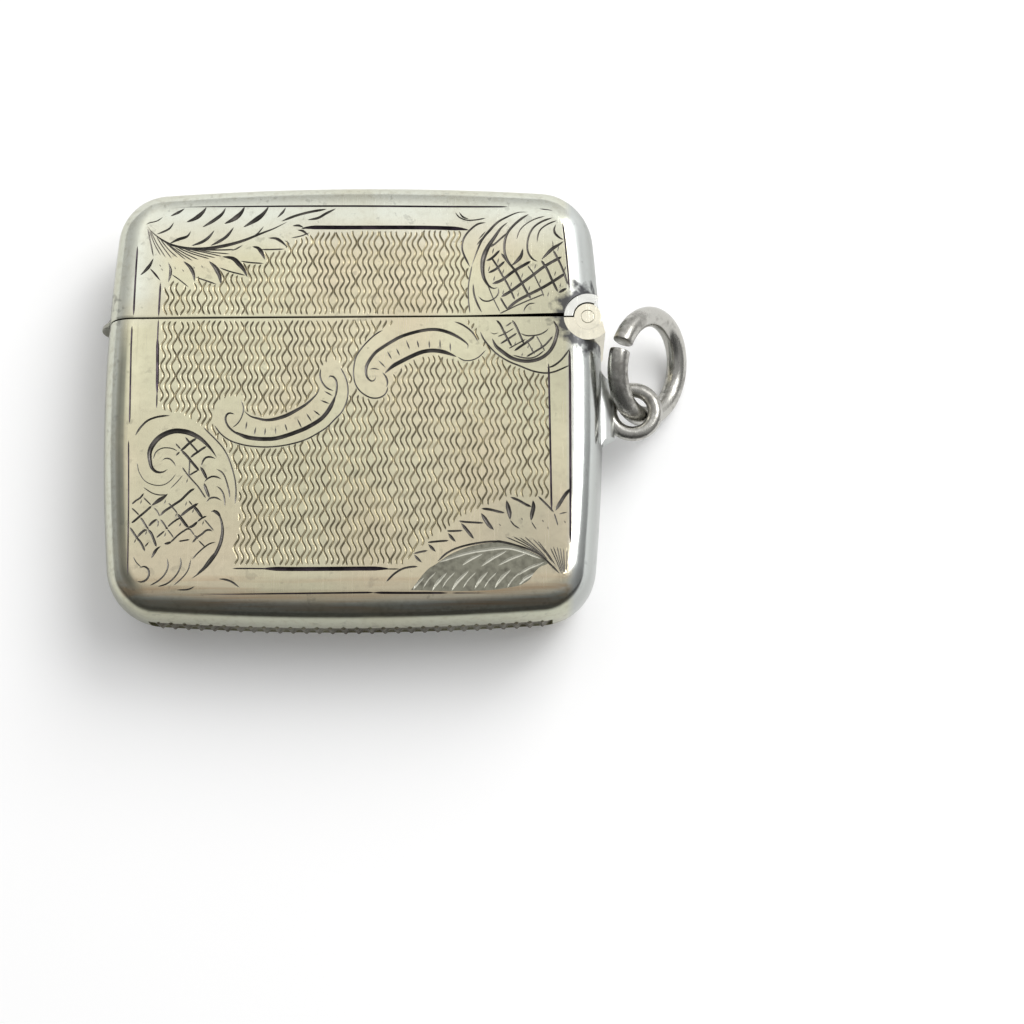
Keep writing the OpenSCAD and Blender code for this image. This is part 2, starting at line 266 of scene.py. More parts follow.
def sheet_tone(tree, at):
    """Colour of the flat and of the rolled edge, with painted light and shade in it, before any staining."""
    x, y, off_middle = at["x"], at["y"], at["off_middle"]
    # Whiter and cooler along the lid's end and down its left side: a painted reflection of the bright sky over the lid
    painted_reflection = times(tree, ramp(tree, x, -18.8, -15.5, 1, 0), ramp(tree, y, 6, 9))
    painted_reflection = maths(tree, "MAXIMUM", painted_reflection, ramp(tree, y, 12.5, 16.5))
    patch = spread(tree, noise(tree, at["spot"], 75, 2), 0, 1, 0.42, 0.62)
    warm = blend(tree, patch, (0.79, 0.76, 0.54, 1), (0.84, 0.745, 0.54, 1))
    panel = blend(tree, painted_reflection, warm, (0.82, 0.84, 0.73, 1))
    # Painted shade: the rolled edge darkens towards the middle of the thickness, where its lower side mirrors the dark
    # floor
    edge = blend(tree, ramp(tree, off_middle, 3.6, 4.6), (0.56, 0.57, 0.45, 1), (0.82, 0.84, 0.75, 1))
    tone = blend(tree, at["flat"], edge, panel)
    # Brown streaks along the rolled end at the base
    drawn = put(tree, "Mapping", {"Vector": at["spot"], "Scale": (70, 1500, 1300)}).outputs[0]
    streak = spread(tree, noise(tree, drawn, 1.0, 3), 0, 1, 0.42, 0.62)
    at_base = times(tree, ramp(tree, y, -17.0, -15.5, 0.9, 0), ramp(tree, off_middle, 3.6, 4.3))
    tone = blend(tree, times(tree, streak, at_base), tone, (0.72, 0.53, 0.34, 1))
    # A grey band along the body's left shoulder: a painted dark reflection
    band = times(tree, ramp(tree, off_middle, 4.5, 4.68, 0, 0.8), ramp(tree, off_middle, 4.76, 4.8, 1, 0))
    left = times(tree, ramp(tree, x, -18.5, -17.0, 1, 0), ramp(tree, y, 3, 7, 1, 0))
    return blend(tree, times(tree, band, left), tone, (0.26, 0.27, 0.22, 1))


# The whiter tone from Y 12.5 mm up is a painted reflection
print("the flat is wiped white from Y 12.5 mm up")

# %% [markdown]
# ## Stains of the engraved sheets
# Tarnish gathers in clouds and specks, and dirt stays where no cloth gets in: round the hinge, beside the lip and in
# the lower leaf. Soldering left fire stains there too, which never polish out. The darkest ring close round the hinge
# and beside the lip is also painted shade, where those parts stand out of the sheet. The distance from each of these
# places drives the staining, and a noise added to that distance breaks up its edge. The side with the hinge is painted
# a cooler grey that darkens down its roll, a painted shade for the dark it mirrors there, and above the hinge it is
# rubbed to a satin.

# %% Tarnish, solder stains, painted shade and the finished silver
def soiled_and_shaded(tree, at, tone):
    """Lays tarnish, solder stains and painted shade over a tone. Gives the new tone and where it is stained or shaded.
    """
    off_middle = at["off_middle"]
    tone = blend(tree, spread(tree, at["cloud"], 0, 0.45, 0.42, 0.8), tone, (0.60, 0.55, 0.37, 1))
    tone = blend(tree, spread(tree, at["grain"], 0, 0.3, 0.5, 0.85), tone, (0.50, 0.45, 0.34, 1))
    speck = times(tree, spread(tree, at["grain"], 0, 0.4, 0.5, 0.74), ramp(tree, off_middle, 4.0, 4.7, 1, 0))
    tone = blend(tree, speck, tone, (0.36, 0.35, 0.24, 1))
    # Painted shade: the hinge side turns a cooler grey that darkens down the roll, where it mirrors the dark floor and
    # the boss's shadow
    hinge_side_painted_shade = blend(tree, ramp(tree, off_middle, 3.0, 4.5), (0.44, 0.46, 0.455, 1), (0.70, 0.73, 0.725, 1))
    tone = blend(tree, times(tree, at["hinge_side"], 0.85), tone, hinge_side_painted_shade)
    across = put(tree, "CombineXYZ", {0: at["x"], 1: at["y"]}).outputs[0]
    pin, lip, leaf = (put(tree, "VectorMath", {0: across, 1: Vector(place) * mm},
                          operation="DISTANCE").outputs["Value"]
                      for place in ((20.7, 7.05, 0), (-21.6, 8.3, 0), (15.5, -12.5, 0)))
    pool = maths(tree, "MAXIMUM", ramp(tree, pin, 4, 11, 0.36, 0), ramp(tree, leaf, 2, 6.5, 0.3, 0))
    tone = blend(tree, times(tree, pool, at["flat"]), tone, (0.34, 0.33, 0.27, 1))
    # Solder stains together with painted shade: darkest close round the hinge pin and beside the lip
    near = maths(tree, "MAXIMUM", ramp(tree, pin, 2.1, 4.0, 1, 0), ramp(tree, lip, 0.5, 2.4, 0.55, 0))
    near = maths(tree, "ADD", near, spread(tree, noise(tree, at["spot"], 1100, 3), -0.4, 0.4))
    stain_and_shade = spread(tree, near, 0, 0.95, 0.3, 0.8)
    return blend(tree, stain_and_shade, tone, (0.075, 0.075, 0.08, 1)), stain_and_shade


def make_panel_silver():
    """Silver of the engraved sheets, whose flat falls away softly before the roll begins."""
    material, tree, shader, at = wear("champagne_silver")
    add_places(tree, at)
    at["flat"], at["hinge_side"] = ramp(tree, at["off_middle"], 4.5, 4.77), ramp(tree, at["x"], 18.7, 19.4)
    tone, stain_and_shade = soiled_and_shaded(tree, at, sheet_tone(tree, at))
    tree.links.new(tone, shader.inputs["Base Color"])
    hairs = times(tree, at["hairs"], at["flat"])
    gloss = maths(tree, "MULTIPLY_ADD", hairs, 0.1, spread(tree, at["cloud"], 0.14, 0.24))
    gloss = maths(tree, "MULTIPLY_ADD", stain_and_shade, 0.2, gloss)
    satin = times(tree, at["hinge_side"], ramp(tree, at["y"], 8.5, 10.0, 0, 0.22))
    tree.links.new(maths(tree, "ADD", gloss, satin), shader.inputs["Roughness"])
    ends, left_side = (put(tree, "MapRange", {0: value, 1: start * mm, 2: stop * mm},
                           interpolation_type="SMOOTHSTEP").outputs[0]
                       for value, start, stop in ((maths(tree, "ABSOLUTE", at["y"]), 15.9, 18.9),
                                                  (at["x"], -18.0, -19.7)))
    relief(tree, shader, [(ends, -0.1 * mm), (left_side, -0.06 * mm), (at["dent"], 0.02 * mm),
                          (hairs, -0.0012 * mm), (at["grain"], 0.002 * mm)])
    return material


champagne_silver = make_panel_silver()
print("finish", champagne_silver.name)

# %% [markdown]
# ## What lies in the cuts
# Polish dries in every engraved line and oxide darkens it, and that is what makes engraving readable. A cut is
# bright at its lip, where the tool burnished it, and darkens with depth, so depth below the surface drives the
# mix. The leaf and scroll cuts end nearly black, the shallow machine-cut waves are only browned.

# %% Patina of the cuts
def make_cut(name, lip, bed, start, end):
    """Metal of a groove, from its bright lip to its dark bed, between two depths in millimetres."""
    material, tree, shader, at = wear(name)
    add_places(tree, at)
    uneven, worn_gain = 0.006 * mm, 2.6
    depth = maths(tree, "SUBTRACT", middle_z, at["off_middle"])
    depth = maths(tree, "ADD", depth, spread(tree, at["cloud"], -uneven, uneven))
    dark = ramp(tree, depth, start, end)
    worn = spread(tree, noise(tree, at["spot"], 700, 2), 0, 1, 0.4, 0.66)
    bed_tone = blend(tree, worn, (*bed, 1), tuple(v * worn_gain for v in bed) + (1,))
    tree.links.new(blend(tree, dark, (*lip, 1), bed_tone), shader.inputs["Base Color"])
    tree.links.new(spread(tree, dark, 0.2, 0.4, 0, 1), shader.inputs["Roughness"])
    relief(tree, shader, [(at["grain"], 0.003 * mm)])
    return material


cut_patina = make_cut("cut_patina", (0.72, 0.70, 0.61), (0.115, 0.108, 0.10), 0.004, 0.034)
border_patina = make_cut("border_patina", (0.6, 0.58, 0.5), (0.06, 0.048, 0.058), 0.002, 0.03)
wave_patina = make_cut("wave_patina", (0.60, 0.56, 0.42), (0.15, 0.13, 0.08), 0.003, 0.028)
print("patinas", [m.name for m in (cut_patina, border_patina, wave_patina)])

# %% [markdown]
# ## The other metals
# Inside, a match case was often gilded, because silver suffers from the fumes of the match heads. The hinge blocks are
# bright from filing and spotted with old solder, the wire of the ring is dull, the striker is grimy and painted darker
# for the shade under the base's rim, the thumb piece is painted dark grey for the shade on its top, and the leaf
# spring is blued steel. All of them are one recipe: a clean tone, a stained one, and a point at which the clouds and
# the grain turn the one into the other.

# %% Gilding, solder, dull wire and steel
def make_finish(name, clean, stained, gloss, stain_from=0.45, grain=0.003, dent=0.01):
    """A metal whose stains follow the cloud and the grain, rougher where stained. Bumps in millimetres."""
    material, tree, shader, at = wear(name)
    dirt = maths(tree, "MULTIPLY_ADD", at["grain"], 0.5, times(tree, at["cloud"], 0.5))
    dirt = spread(tree, dirt, 0, 1, stain_from, stain_from + 0.2)
    tree.links.new(blend(tree, dirt, (*clean, 1), (*stained, 1)), shader.inputs["Base Color"])
    rough = maths(tree, "MULTIPLY_ADD", at["hairs"], 0.1, spread(tree, dirt, *gloss, 0, 1))
    tree.links.new(rough, shader.inputs["Roughness"])
    relief(tree, shader, [(at["dent"], dent * mm), (at["hairs"], -0.0015 * mm), (at["grain"], grain * mm)])
    return material


matted_ground = make_finish("matted_ground", (0.29, 0.285, 0.225), (0.125, 0.12, 0.095), (0.3, 0.5), 0.42, grain=0.012)
bright_cut = make_finish("bright_cut", (0.66, 0.65, 0.55), (0.38, 0.37, 0.30), (0.18, 0.35), 0.46)
old_gilding = make_finish("old_gilding", (0.86, 0.66, 0.30), (0.55, 0.38, 0.16), (0.22, 0.4))
soldered_silver = make_finish("soldered_silver", (0.88, 0.88, 0.83), (0.24, 0.22, 0.19), (0.2, 0.5), 0.58, dent=0.05)
block_silver = make_finish("block_silver", (0.92, 0.87, 0.71), (0.30, 0.27, 0.20), (0.2, 0.45), 0.6, dent=0.06)
boss_silver = make_finish("boss_silver", (0.86, 0.88, 0.86), (0.55, 0.55, 0.52), (0.36, 0.5), 0.52)
# The thumb piece is painted dark grey: painted shade for the shade on its top
lip_in_painted_shade = make_finish("lip_in_painted_shade", (0.36, 0.36, 0.30), (0.18, 0.17, 0.13), (0.26, 0.4), 0.46)
ring_silver = make_finish("ring_silver", (0.56, 0.55, 0.51), (0.22, 0.21, 0.19), (0.22, 0.45), 0.46,
                          grain=0.006, dent=0.03)
# The striker's dark tone is painted shade for the shadow under the base's rim, with grime over it
striker_grime_and_shade = make_finish("striker_grime_and_shade", (0.30, 0.28, 0.22), (0.13, 0.115, 0.085), (0.3, 0.5), 0.42)
spring_blue = make_finish("spring_blue", (0.32, 0.33, 0.36), (0.16, 0.12, 0.09), (0.25, 0.5), 0.52)
print("finishes", [m.name for m in bpy.data.materials])

# %% [markdown]
# ## The dished half
# A silversmith sinks a flat sheet into a steel die: a flat panel, a quarter-round shoulder and a side that
# swells slightly. All of it is one section carried round an outline of eight arcs. Spin does both jobs here.
# First a single point is spun into the section, then the section is spun round each arc in turn.

# %% Sizes and the eight arcs
case_w, case_h, sheet = 44, 39.9, 0.5
side_turn, end_turn = math.radians(5.4), math.radians(3.9)
corner_r, edge_w, edge_swell = 4.9, 2.8, 0.4
half_t, shoulder_r = case_t / 2, edge_w - edge_swell
swell_r = (half_t - edge_w) ** 2 / (2 * edge_swell) + half_t
reach_x, reach_y = case_w / 2 - corner_r, case_h / 2 - corner_r
side_sag, end_sag = 1 - math.cos(side_turn), 1 - math.cos(end_turn)
sags = side_sag * end_sag - math.sin(side_turn) * math.sin(end_turn)
side_arm = (reach_x * end_sag - reach_y * math.sin(end_turn)) / sags
end_arm = (reach_y * side_sag - reach_x * math.sin(side_turn)) / sags
side_c, end_c = reach_x - side_arm, reach_y - end_arm
corner_x, corner_y = end_arm * math.sin(end_turn), side_arm * math.sin(side_turn)
corner_turn = math.pi / 2 - side_turn - end_turn
bow_steps, corner_steps = 20, 16
arcs = [((side_c, 0), 2 * side_turn, bow_steps), ((corner_x, corner_y), corner_turn, corner_steps),
        ((0, end_c), 2 * end_turn, bow_steps), ((-corner_x, corner_y), corner_turn, corner_steps),
        ((-side_c, 0), 2 * side_turn, bow_steps), ((-corner_x, -corner_y), corner_turn, corner_steps),
        ((0, -end_c), 2 * end_turn, bow_steps), ((corner_x, -corner_y), corner_turn, corner_steps)]
print("radius of the bowed sides", round(side_arm + corner_r, 1), "mm, of the ends", round(end_arm + corner_r, 1))

# %% [markdown]
# ## Pressing the sheet
# Sheet metal is equally thick everywhere, so only its outer skin is drawn. The section carried round the arcs
# gives the edge, the open middle is filled with one flat face, and Solidify thickens the skin inwards. The inside
# could be modelled by hand, but then the two skins would soon disagree.

# %% One half of the case as a closed sheet
shoulder_steps, swell_steps, brim_inset, weld, outward = 12, 5, 0.12, 0.001, 0.05


def spun(shape, geom, centre, axis, turn, count):
    """Spins wire or edges about a centre and returns what the last step made."""
    made = bmesh.ops.spin(shape, geom=geom, cent=centre, axis=axis, angle=turn, steps=count)
    return made["geom_last"]


def outer_faces(shape):
    """Faces of the outer skin: those that look away from the middle of the case."""
    shape.normal_update()
    middle = Vector((0, 0, half_t))
    return [f for f in shape.faces if (f.calc_center_median() - middle).dot(f.normal) > outward]


def dished_half():
    """The front half: section spun round the arcs, panel filled in, sheet thickened inwards."""
    half = bmesh.new()
    border = case_w / 2 - edge_w
    last = [half.verts.new((border, 0, half_t))]
    meet = math.atan2(half_t - shoulder_r, swell_r - edge_w)
    last = spun(half, last, (border, 0, half_t - shoulder_r), (0, 1, 0), math.pi / 2 - meet, shoulder_steps)
    spun(half, last, (case_w / 2 - swell_r, 0, 0), (0, 1, 0), meet, swell_steps)
    bmesh.ops.rotate(half, verts=half.verts, cent=(side_c, 0, 0), matrix=Matrix.Rotation(-side_turn, 3, "Z"))
    last = half.verts[:] + half.edges[:]
    for (x, y), turn, count in arcs:
        last = spun(half, last, (x, y, 0), (0, 0, 1), turn, count)
    bmesh.ops.remove_doubles(half, verts=half.verts, dist=weld)
    brim = [e for e in half.edges if e.is_boundary and min(v.co.z for v in e.verts) > half_t - weld]
    panel = bmesh.ops.contextual_create(half, geom=brim)["faces"]
    bmesh.ops.inset_region(half, faces=panel, thickness=brim_inset, use_even_offset=True)
    bmesh.ops.recalc_face_normals(half, faces=half.faces)
    bmesh.ops.solidify(half, geom=half.faces[:], thickness=sheet)
    for vert in half.verts:
        vert.co.z = max(vert.co.z, 0)
    bmesh.ops.translate(half, verts=half.verts, vec=(0, 0, half_t))
    return half


pressed = dished_half()
print("pressed half", len(pressed.faces), "faces, Z from", round(min(v.co.z for v in pressed.verts), 3),
      "to", round(max(v.co.z for v in pressed.verts), 3), "X to", round(max(v.co.x for v in pressed.verts), 3))

# %% [markdown]
# ## Sawing off the lid
# The real case was closed first and then sawn across, which is why ornament and waves run over the parting
# line. A bisect makes the same cut here. The sawn edge is filled and its outer corner broken with a small
# bevel, which catches the light as the thin bright line beside the dark gap.

# %% Sawn pieces
part_y, part_gap, sawn_bevel = 7.05, 0.1, 0.07


def sawn(shape, lid):
    """The lid's or the body's share of a half, with its sawn edge closed and softened."""
    piece = shape.copy()
    cut_y = part_y + (part_gap / 2 if lid else -part_gap / 2)
    bmesh.ops.bisect_plane(piece, geom=piece.verts[:] + piece.edges[:] + piece.faces[:], dist=0.0001,
                           plane_co=(0, cut_y, 0), plane_no=(0, 1, 0), clear_inner=lid, clear_outer=not lid)
    mouth = [e for e in piece.edges if e.is_boundary]
    closed = bmesh.ops.contextual_create(piece, geom=mouth)["faces"]
    bmesh.ops.recalc_face_normals(piece, faces=piece.faces)
    outside = set(outer_faces(piece)) - set(closed)
    corner = [e for e in closed[0].edges if any(f in outside for f in e.link_faces)]
    bmesh.ops.bevel(piece, geom=corner, offset=sawn_bevel, offset_type="OFFSET", segments=2, profile=0.5,
                    affect="EDGES", material=-1)
    return piece


lid_half, body_half = sawn(pressed, True), sawn(pressed, False)
print("sawn lid half", len(lid_half.faces), "faces, body half", len(body_half.faces))

# %% [markdown]
# ## Two front sheets
# The outside of the case is silver, the inside was gilded, and the saw left a bare edge between the two. So every
# face gets its finish by where it looks and where it lies. Cutters carry the same list of finishes later, so a
# cut can keep a finish of its own. The shapes are worked out in millimetres, and one function turns each of them
# into an object in metres that stands at the origin.

# %% From a bmesh in millimetres to an object in metres
def piece_from(shape, name, finishes):
    """Makes the object at the origin, with its place in its mesh."""
    bmesh.ops.scale(shape, verts=shape.verts, vec=(mm, mm, mm))
    piece = bpy.data.objects.new(name, bpy.data.meshes.new(name))
    shape.to_mesh(piece.data)
    shape.free()
    for finish in finishes:
        piece.data.materials.append(finish)
    scene.collection.objects.link(piece)
    return piece


shell_finishes = [champagne_silver, old_gilding, cut_patina, wave_patina, matted_ground, bright_cut, border_patina]
silver_at, gilding_at, cut_at, wave_at, matted_at, bright_at, border_at = range(len(shell_finishes))
bare_reach = 0.15
shells = {}
for name, half in (("lid_front_sheet", lid_half), ("body_front_sheet", body_half)):
    for face in half.faces:
        face.material_index = gilding_at
    bare_edge = [f for f in half.faces if abs(f.calc_center_median().y - part_y) < bare_reach]
    for face in [*outer_faces(half), *bare_edge]:
        face.material_index = silver_at
    shells[name] = piece_from(half, name, shell_finishes)
print("sheets", list(shells))

# %% [markdown]
# ## Notch, filed wedge and striker slot
# The hinge sits in a round notch, the lid's edge is filed back towards the hinge so that it can lift, and the
# base has a slot for the striker. Each is a plain cutter taken away with a Boolean, as a file or a drill would.
# The faces could be cut and bridged by hand, but a Boolean follows the curved sheet by itself.

# %% Cutting with Booleans
def take_away(piece, cutters):
    """Takes each cutter out of the piece, keeps the cutters' finishes in the cuts, and removes the cutters."""
    for cutter in cutters:
        taking = piece.modifiers.new(cutter.name, "BOOLEAN")
        taking.operation, taking.solver, taking.object = "DIFFERENCE", "MANIFOLD", cutter
    ready = piece.evaluated_get(bpy.context.evaluated_depsgraph_get())
    mesh = bpy.data.meshes.new_from_object(ready)
    piece.modifiers.clear()
    piece.data = mesh
    for cutter in cutters:
        bpy.data.objects.remove(cutter)
    print(piece.name, len(mesh.polygons), "faces after", len(cutters), "cuts")


pin_x, bearer_r, relief_l, relief_h = 20.7, 2.1, 12, 0.26
strike_l, strike_w, slot_d, slot_sheets = 35, 2.4, 4, 2.2
notch_steps, cutter_l, cutter_low = 96, 30, -9


def raise_up(shape, outline, lift):
    """Closes an outline with a face and draws it up into a solid."""
    face = bmesh.ops.contextual_create(shape, geom=outline)["faces"]
    raised = bmesh.ops.extrude_face_region(shape, geom=face)["geom"]
    bmesh.ops.translate(shape, verts=[g for g in raised if isinstance(g, bmesh.types.BMVert)], vec=(0, 0, lift))
    bmesh.ops.recalc_face_normals(shape, faces=shape.faces)


def notch_cutter(name):
    """A round bar along the hinge pin."""
    shape = bmesh.new()
    bmesh.ops.create_cone(shape, cap_ends=True, segments=notch_steps, radius1=bearer_r, radius2=bearer_r,
                          depth=cutter_l)
    bmesh.ops.translate(shape, verts=shape.verts, vec=(pin_x, part_y, 0))
    return piece_from(shape, name, shell_finishes)


def wedge_cutter(name):
    """A thin wedge that opens towards the hinge."""
    shape = bmesh.new()
    corners = [(0, 0), (relief_l * 2, -relief_h), (relief_l * 2, relief_h * 2)]
    tip_x, tip_y = pin_x - relief_l, part_y + part_gap / 2
    raise_up(shape, [shape.verts.new((tip_x + x, tip_y + y, cutter_low)) for x, y in corners], cutter_l)
    return piece_from(shape, name, shell_finishes)


def slot_cutter(name):
    """A bar as wide as the striker, let into the base."""
    shape = bmesh.new()
    bmesh.ops.create_cube(shape, size=1)
    bmesh.ops.scale(shape, verts=shape.verts, vec=(strike_l, slot_d, strike_w))
    middle_y = -case_h / 2 - slot_d / 2 + sheet * slot_sheets
    bmesh.ops.translate(shape, verts=shape.verts, vec=(0, middle_y, half_t))
    return piece_from(shape, name, shell_finishes)


take_away(shells["lid_front_sheet"], [notch_cutter("notch"), wedge_cutter("wedge")])
take_away(shells["body_front_sheet"], [notch_cutter("notch"), slot_cutter("slot")])

# %% [markdown]
# ## The graver's strokes
# A graver ploughs a groove out of the silver, wide where it is pushed hard and running out to a point at both
# ends. Each stroke is therefore a smooth line through a few points, with a half width that swells and tapers. The
# points are noted in the picture and the camera carries them onto the metal, so that the ornament lies where the
# eye expects it.

# %% Smooth strokes that swell and taper
pixel_mm, stroke_step, taper_most, taper_power = 0.087, 2.4, 0.48, 0.6


def eased(points):
    """A smooth line through the points, sampled about every few pixels of the picture."""
    ends = [2 * points[0] - points[1], *points, 2 * points[-1] - points[-2]]
    line = []
    for before, a, b, after in zip(ends, ends[1:], ends[2:], ends[3:]):
        count = max(1, round((b - a).length / stroke_step))
        for t in (i / count for i in range(count)):
            line.append(0.5 * (2 * a + (b - before) * t + (2 * before - 5 * a + 4 * b - after) * t ** 2
                               + (3 * a - before - 3 * b + after) * t ** 3))
    return [*line, points[-1]]


def ploughed(line, width, blunt):
    """Rows of x, y and half width in millimetres: the half width grows from both ends."""
    line = numpy.array([p[:2] for p in line])
    run = numpy.concatenate([[0], numpy.cumsum(numpy.linalg.norm(numpy.diff(line, axis=0), axis=1))])
    from_end = numpy.minimum(run, run[-1] - run) / min(run[-1] * taper_most, blunt * width)
    return numpy.column_stack([line, width / 2 * numpy.clip(from_end, 0, 1) ** taper_power])


def cut(width, *numbers, blunt=3.5):
    """One stroke of a width in pixels through x, y pairs of the picture."""
    line = eased([Vector(pair) for pair in zip(numbers[::2], numbers[1::2])])
    return ploughed([on_panel(*p) for p in line], width * pixel_mm, blunt)


print("a 4 px stroke is", round(cut(4, 300, 400, 340, 400)[8, 2] * 2, 3), "mm wide")

# %% [markdown]
# ## Strokes made into cutters
# A painted line stays flat when the light moves, so every stroke is taken out of the sheet. A curve object sweeps
# one round-bottomed section along all its lines, and the radius of each point sets the width there. Many strokes
# share one cutter, as long as none of them touch, because a cutter that overlaps itself can't be taken away
# cleanly. Strokes that touch are therefore shared out into different groups.

# %% Curves swept into solid bars
groove_swell, bed_half, bed_side = 1.4, 0.4, 0.78


def groove_cutter(name, strokes, finish_at, slope=0.9, sunk=0):
    """All strokes as one object of round-bottomed bars that run out to points."""
    section = bpy.data.curves.new("section", "CURVE")
    section.dimensions = "2D"
    outline = section.splines.new("POLY")
    top, side = (groove_swell - 1) * slope, -bed_side * slope
    corners = (0, -slope), (bed_half, side), (groove_swell, top), (-groove_swell, top), (-bed_half, side)
    outline.points.add(len(corners) - 1)
    for point, place in zip(outline.points, corners):
        point.co = (*place, 0, 1)
    outline.use_cyclic_u = True
    shape = bpy.data.objects.new("section", section)
    curve = bpy.data.curves.new(name, "CURVE")
    curve.dimensions, curve.twist_mode = "3D", "Z_UP"
    curve.bevel_mode, curve.bevel_object = "OBJECT", shape
    for stroke in strokes:
        spline = curve.splines.new("POLY")
        spline.points.add(len(stroke) - 1)
        for point, (x, y, half) in zip(spline.points, stroke):
            point.co, point.radius = (x * mm, y * mm, (case_t - sunk) * mm, 1), half * mm
    bars = bpy.data.objects.new(name, curve)
    scene.collection.objects.link(bars)
    mesh = bpy.data.meshes.new_from_object(bars.evaluated_get(bpy.context.evaluated_depsgraph_get()))
    bpy.data.objects.remove(bars)
    bpy.data.objects.remove(shape)
    solid = bmesh.new()
    solid.from_mesh(mesh)
    bmesh.ops.remove_doubles(solid, verts=solid.verts, dist=1e-7)
    bmesh.ops.recalc_face_normals(solid, faces=solid.faces)
    for face in solid.faces:
        face.material_index = finish_at
    solid.to_mesh(mesh)
    solid.free()
    for finish in shell_finishes:
        mesh.materials.append(finish)
    cutter = bpy.data.objects.new(name, mesh)
    scene.collection.objects.link(cutter)
    return cutter


def touching(one, other):
    """Whether two strokes come close enough for their cutters to meet."""
    room, gap = 0.3, 0.06
    if (one.min(0) - room > other.max(0))[:2].any() or (other.min(0) - room > one.max(0))[:2].any():
        return False
    apart = numpy.hypot(*(one[:, None, i] - other[None, :, i] for i in (0, 1)))
    return (apart < (one[:, None, 2] + other[None, :, 2]) * groove_swell + gap).any()


def kept_apart(strokes):
    """Shares the strokes out into groups in which no two touch."""
    groups = []
    for stroke in sorted(strokes, key=len, reverse=True):
        for group in groups:
            if not any(touching(stroke, other) for other in group):
                group.append(stroke)
                break
        else:
            groups.append([stroke])
    return groups


print("a groove's section has its lip at", groove_swell, "and its bed at", bed_half, "of the half width")

# %% [markdown]
# ## Borders
# A fine line runs round the flat just inside the rolled edge, and a second frame inside it is deepened here and
# there into a broad dark line, where the ornament lets it through. One closed curve would be quicker, but an old
# border swells, fades and breaks off, so it is made of single strokes.

# %% Outer and inner border
borders = [
    cut(2, 152, 210, 165, 208, 182, 207, 210, 206.5, 345, 206, 455, 206.6, 509, 206.6),
    cut(1.5, 538, 208.5, 548, 209.6, 556, 211), cut(2, 137.5, 245, 135, 285, 133.5, 316),
    cut(2, 149.5, 268, 155, 274, 160.5, 281), cut(1.8, 132, 325, 131, 350, 130.5, 375, 130, 400, 129.5, 424),
    cut(1.5, 128.5, 440, 128.5, 500, 128, 540, 127.5, 585),
    cut(1.8, 562.5, 221, 565, 240, 567.5, 265, 569.5, 290),
    cut(2.4, 569.5, 349, 570, 385, 570.5, 480, 570.5, 545),
    cut(2, 139, 592.5, 165, 593, 200, 594, 250, 594, 375, 592.5), cut(2.6, 372, 592.7, 400, 593, 450, 593),
    cut(2, 449, 593, 500, 593, 550, 593),
    cut(4, 301, 229, 310, 227.5, 345, 227.5, 420, 227.5, 455, 228.5, 469, 230),
    cut(2, 160.5, 282, 159.5, 300, 158.5, 317), cut(1.5, 158.5, 319, 157.8, 333, 157.5, 345),
    cut(3, 157.5, 336, 157.5, 360, 157.3, 380, 157, 395), cut(1.5, 157, 391, 156.8, 400, 156.5, 409),
    cut(2, 548.5, 363, 549, 380, 551, 480, 551.5, 505, 552, 511), cut(1.4, 232, 568.5, 250, 568.5, 275, 568.8),
    cut(4, 262, 568.6, 300, 569, 375, 568.5, 390, 569), cut(1.2, 385, 569, 393, 569, 400, 569),
]
print(len(borders), "border strokes")

# %% [markdown]
# ## Acanthus leaf on the lid
# The leaf turns over along its midrib. Above it short comma cuts make the folded edge, below it fine hairs fan
# out into the lobes, and each lobe ends in a swelling cut with a thin line that leads to the next. A height map
# could show it too, but its points would blur, and points are what makes a graver's work look sharp.

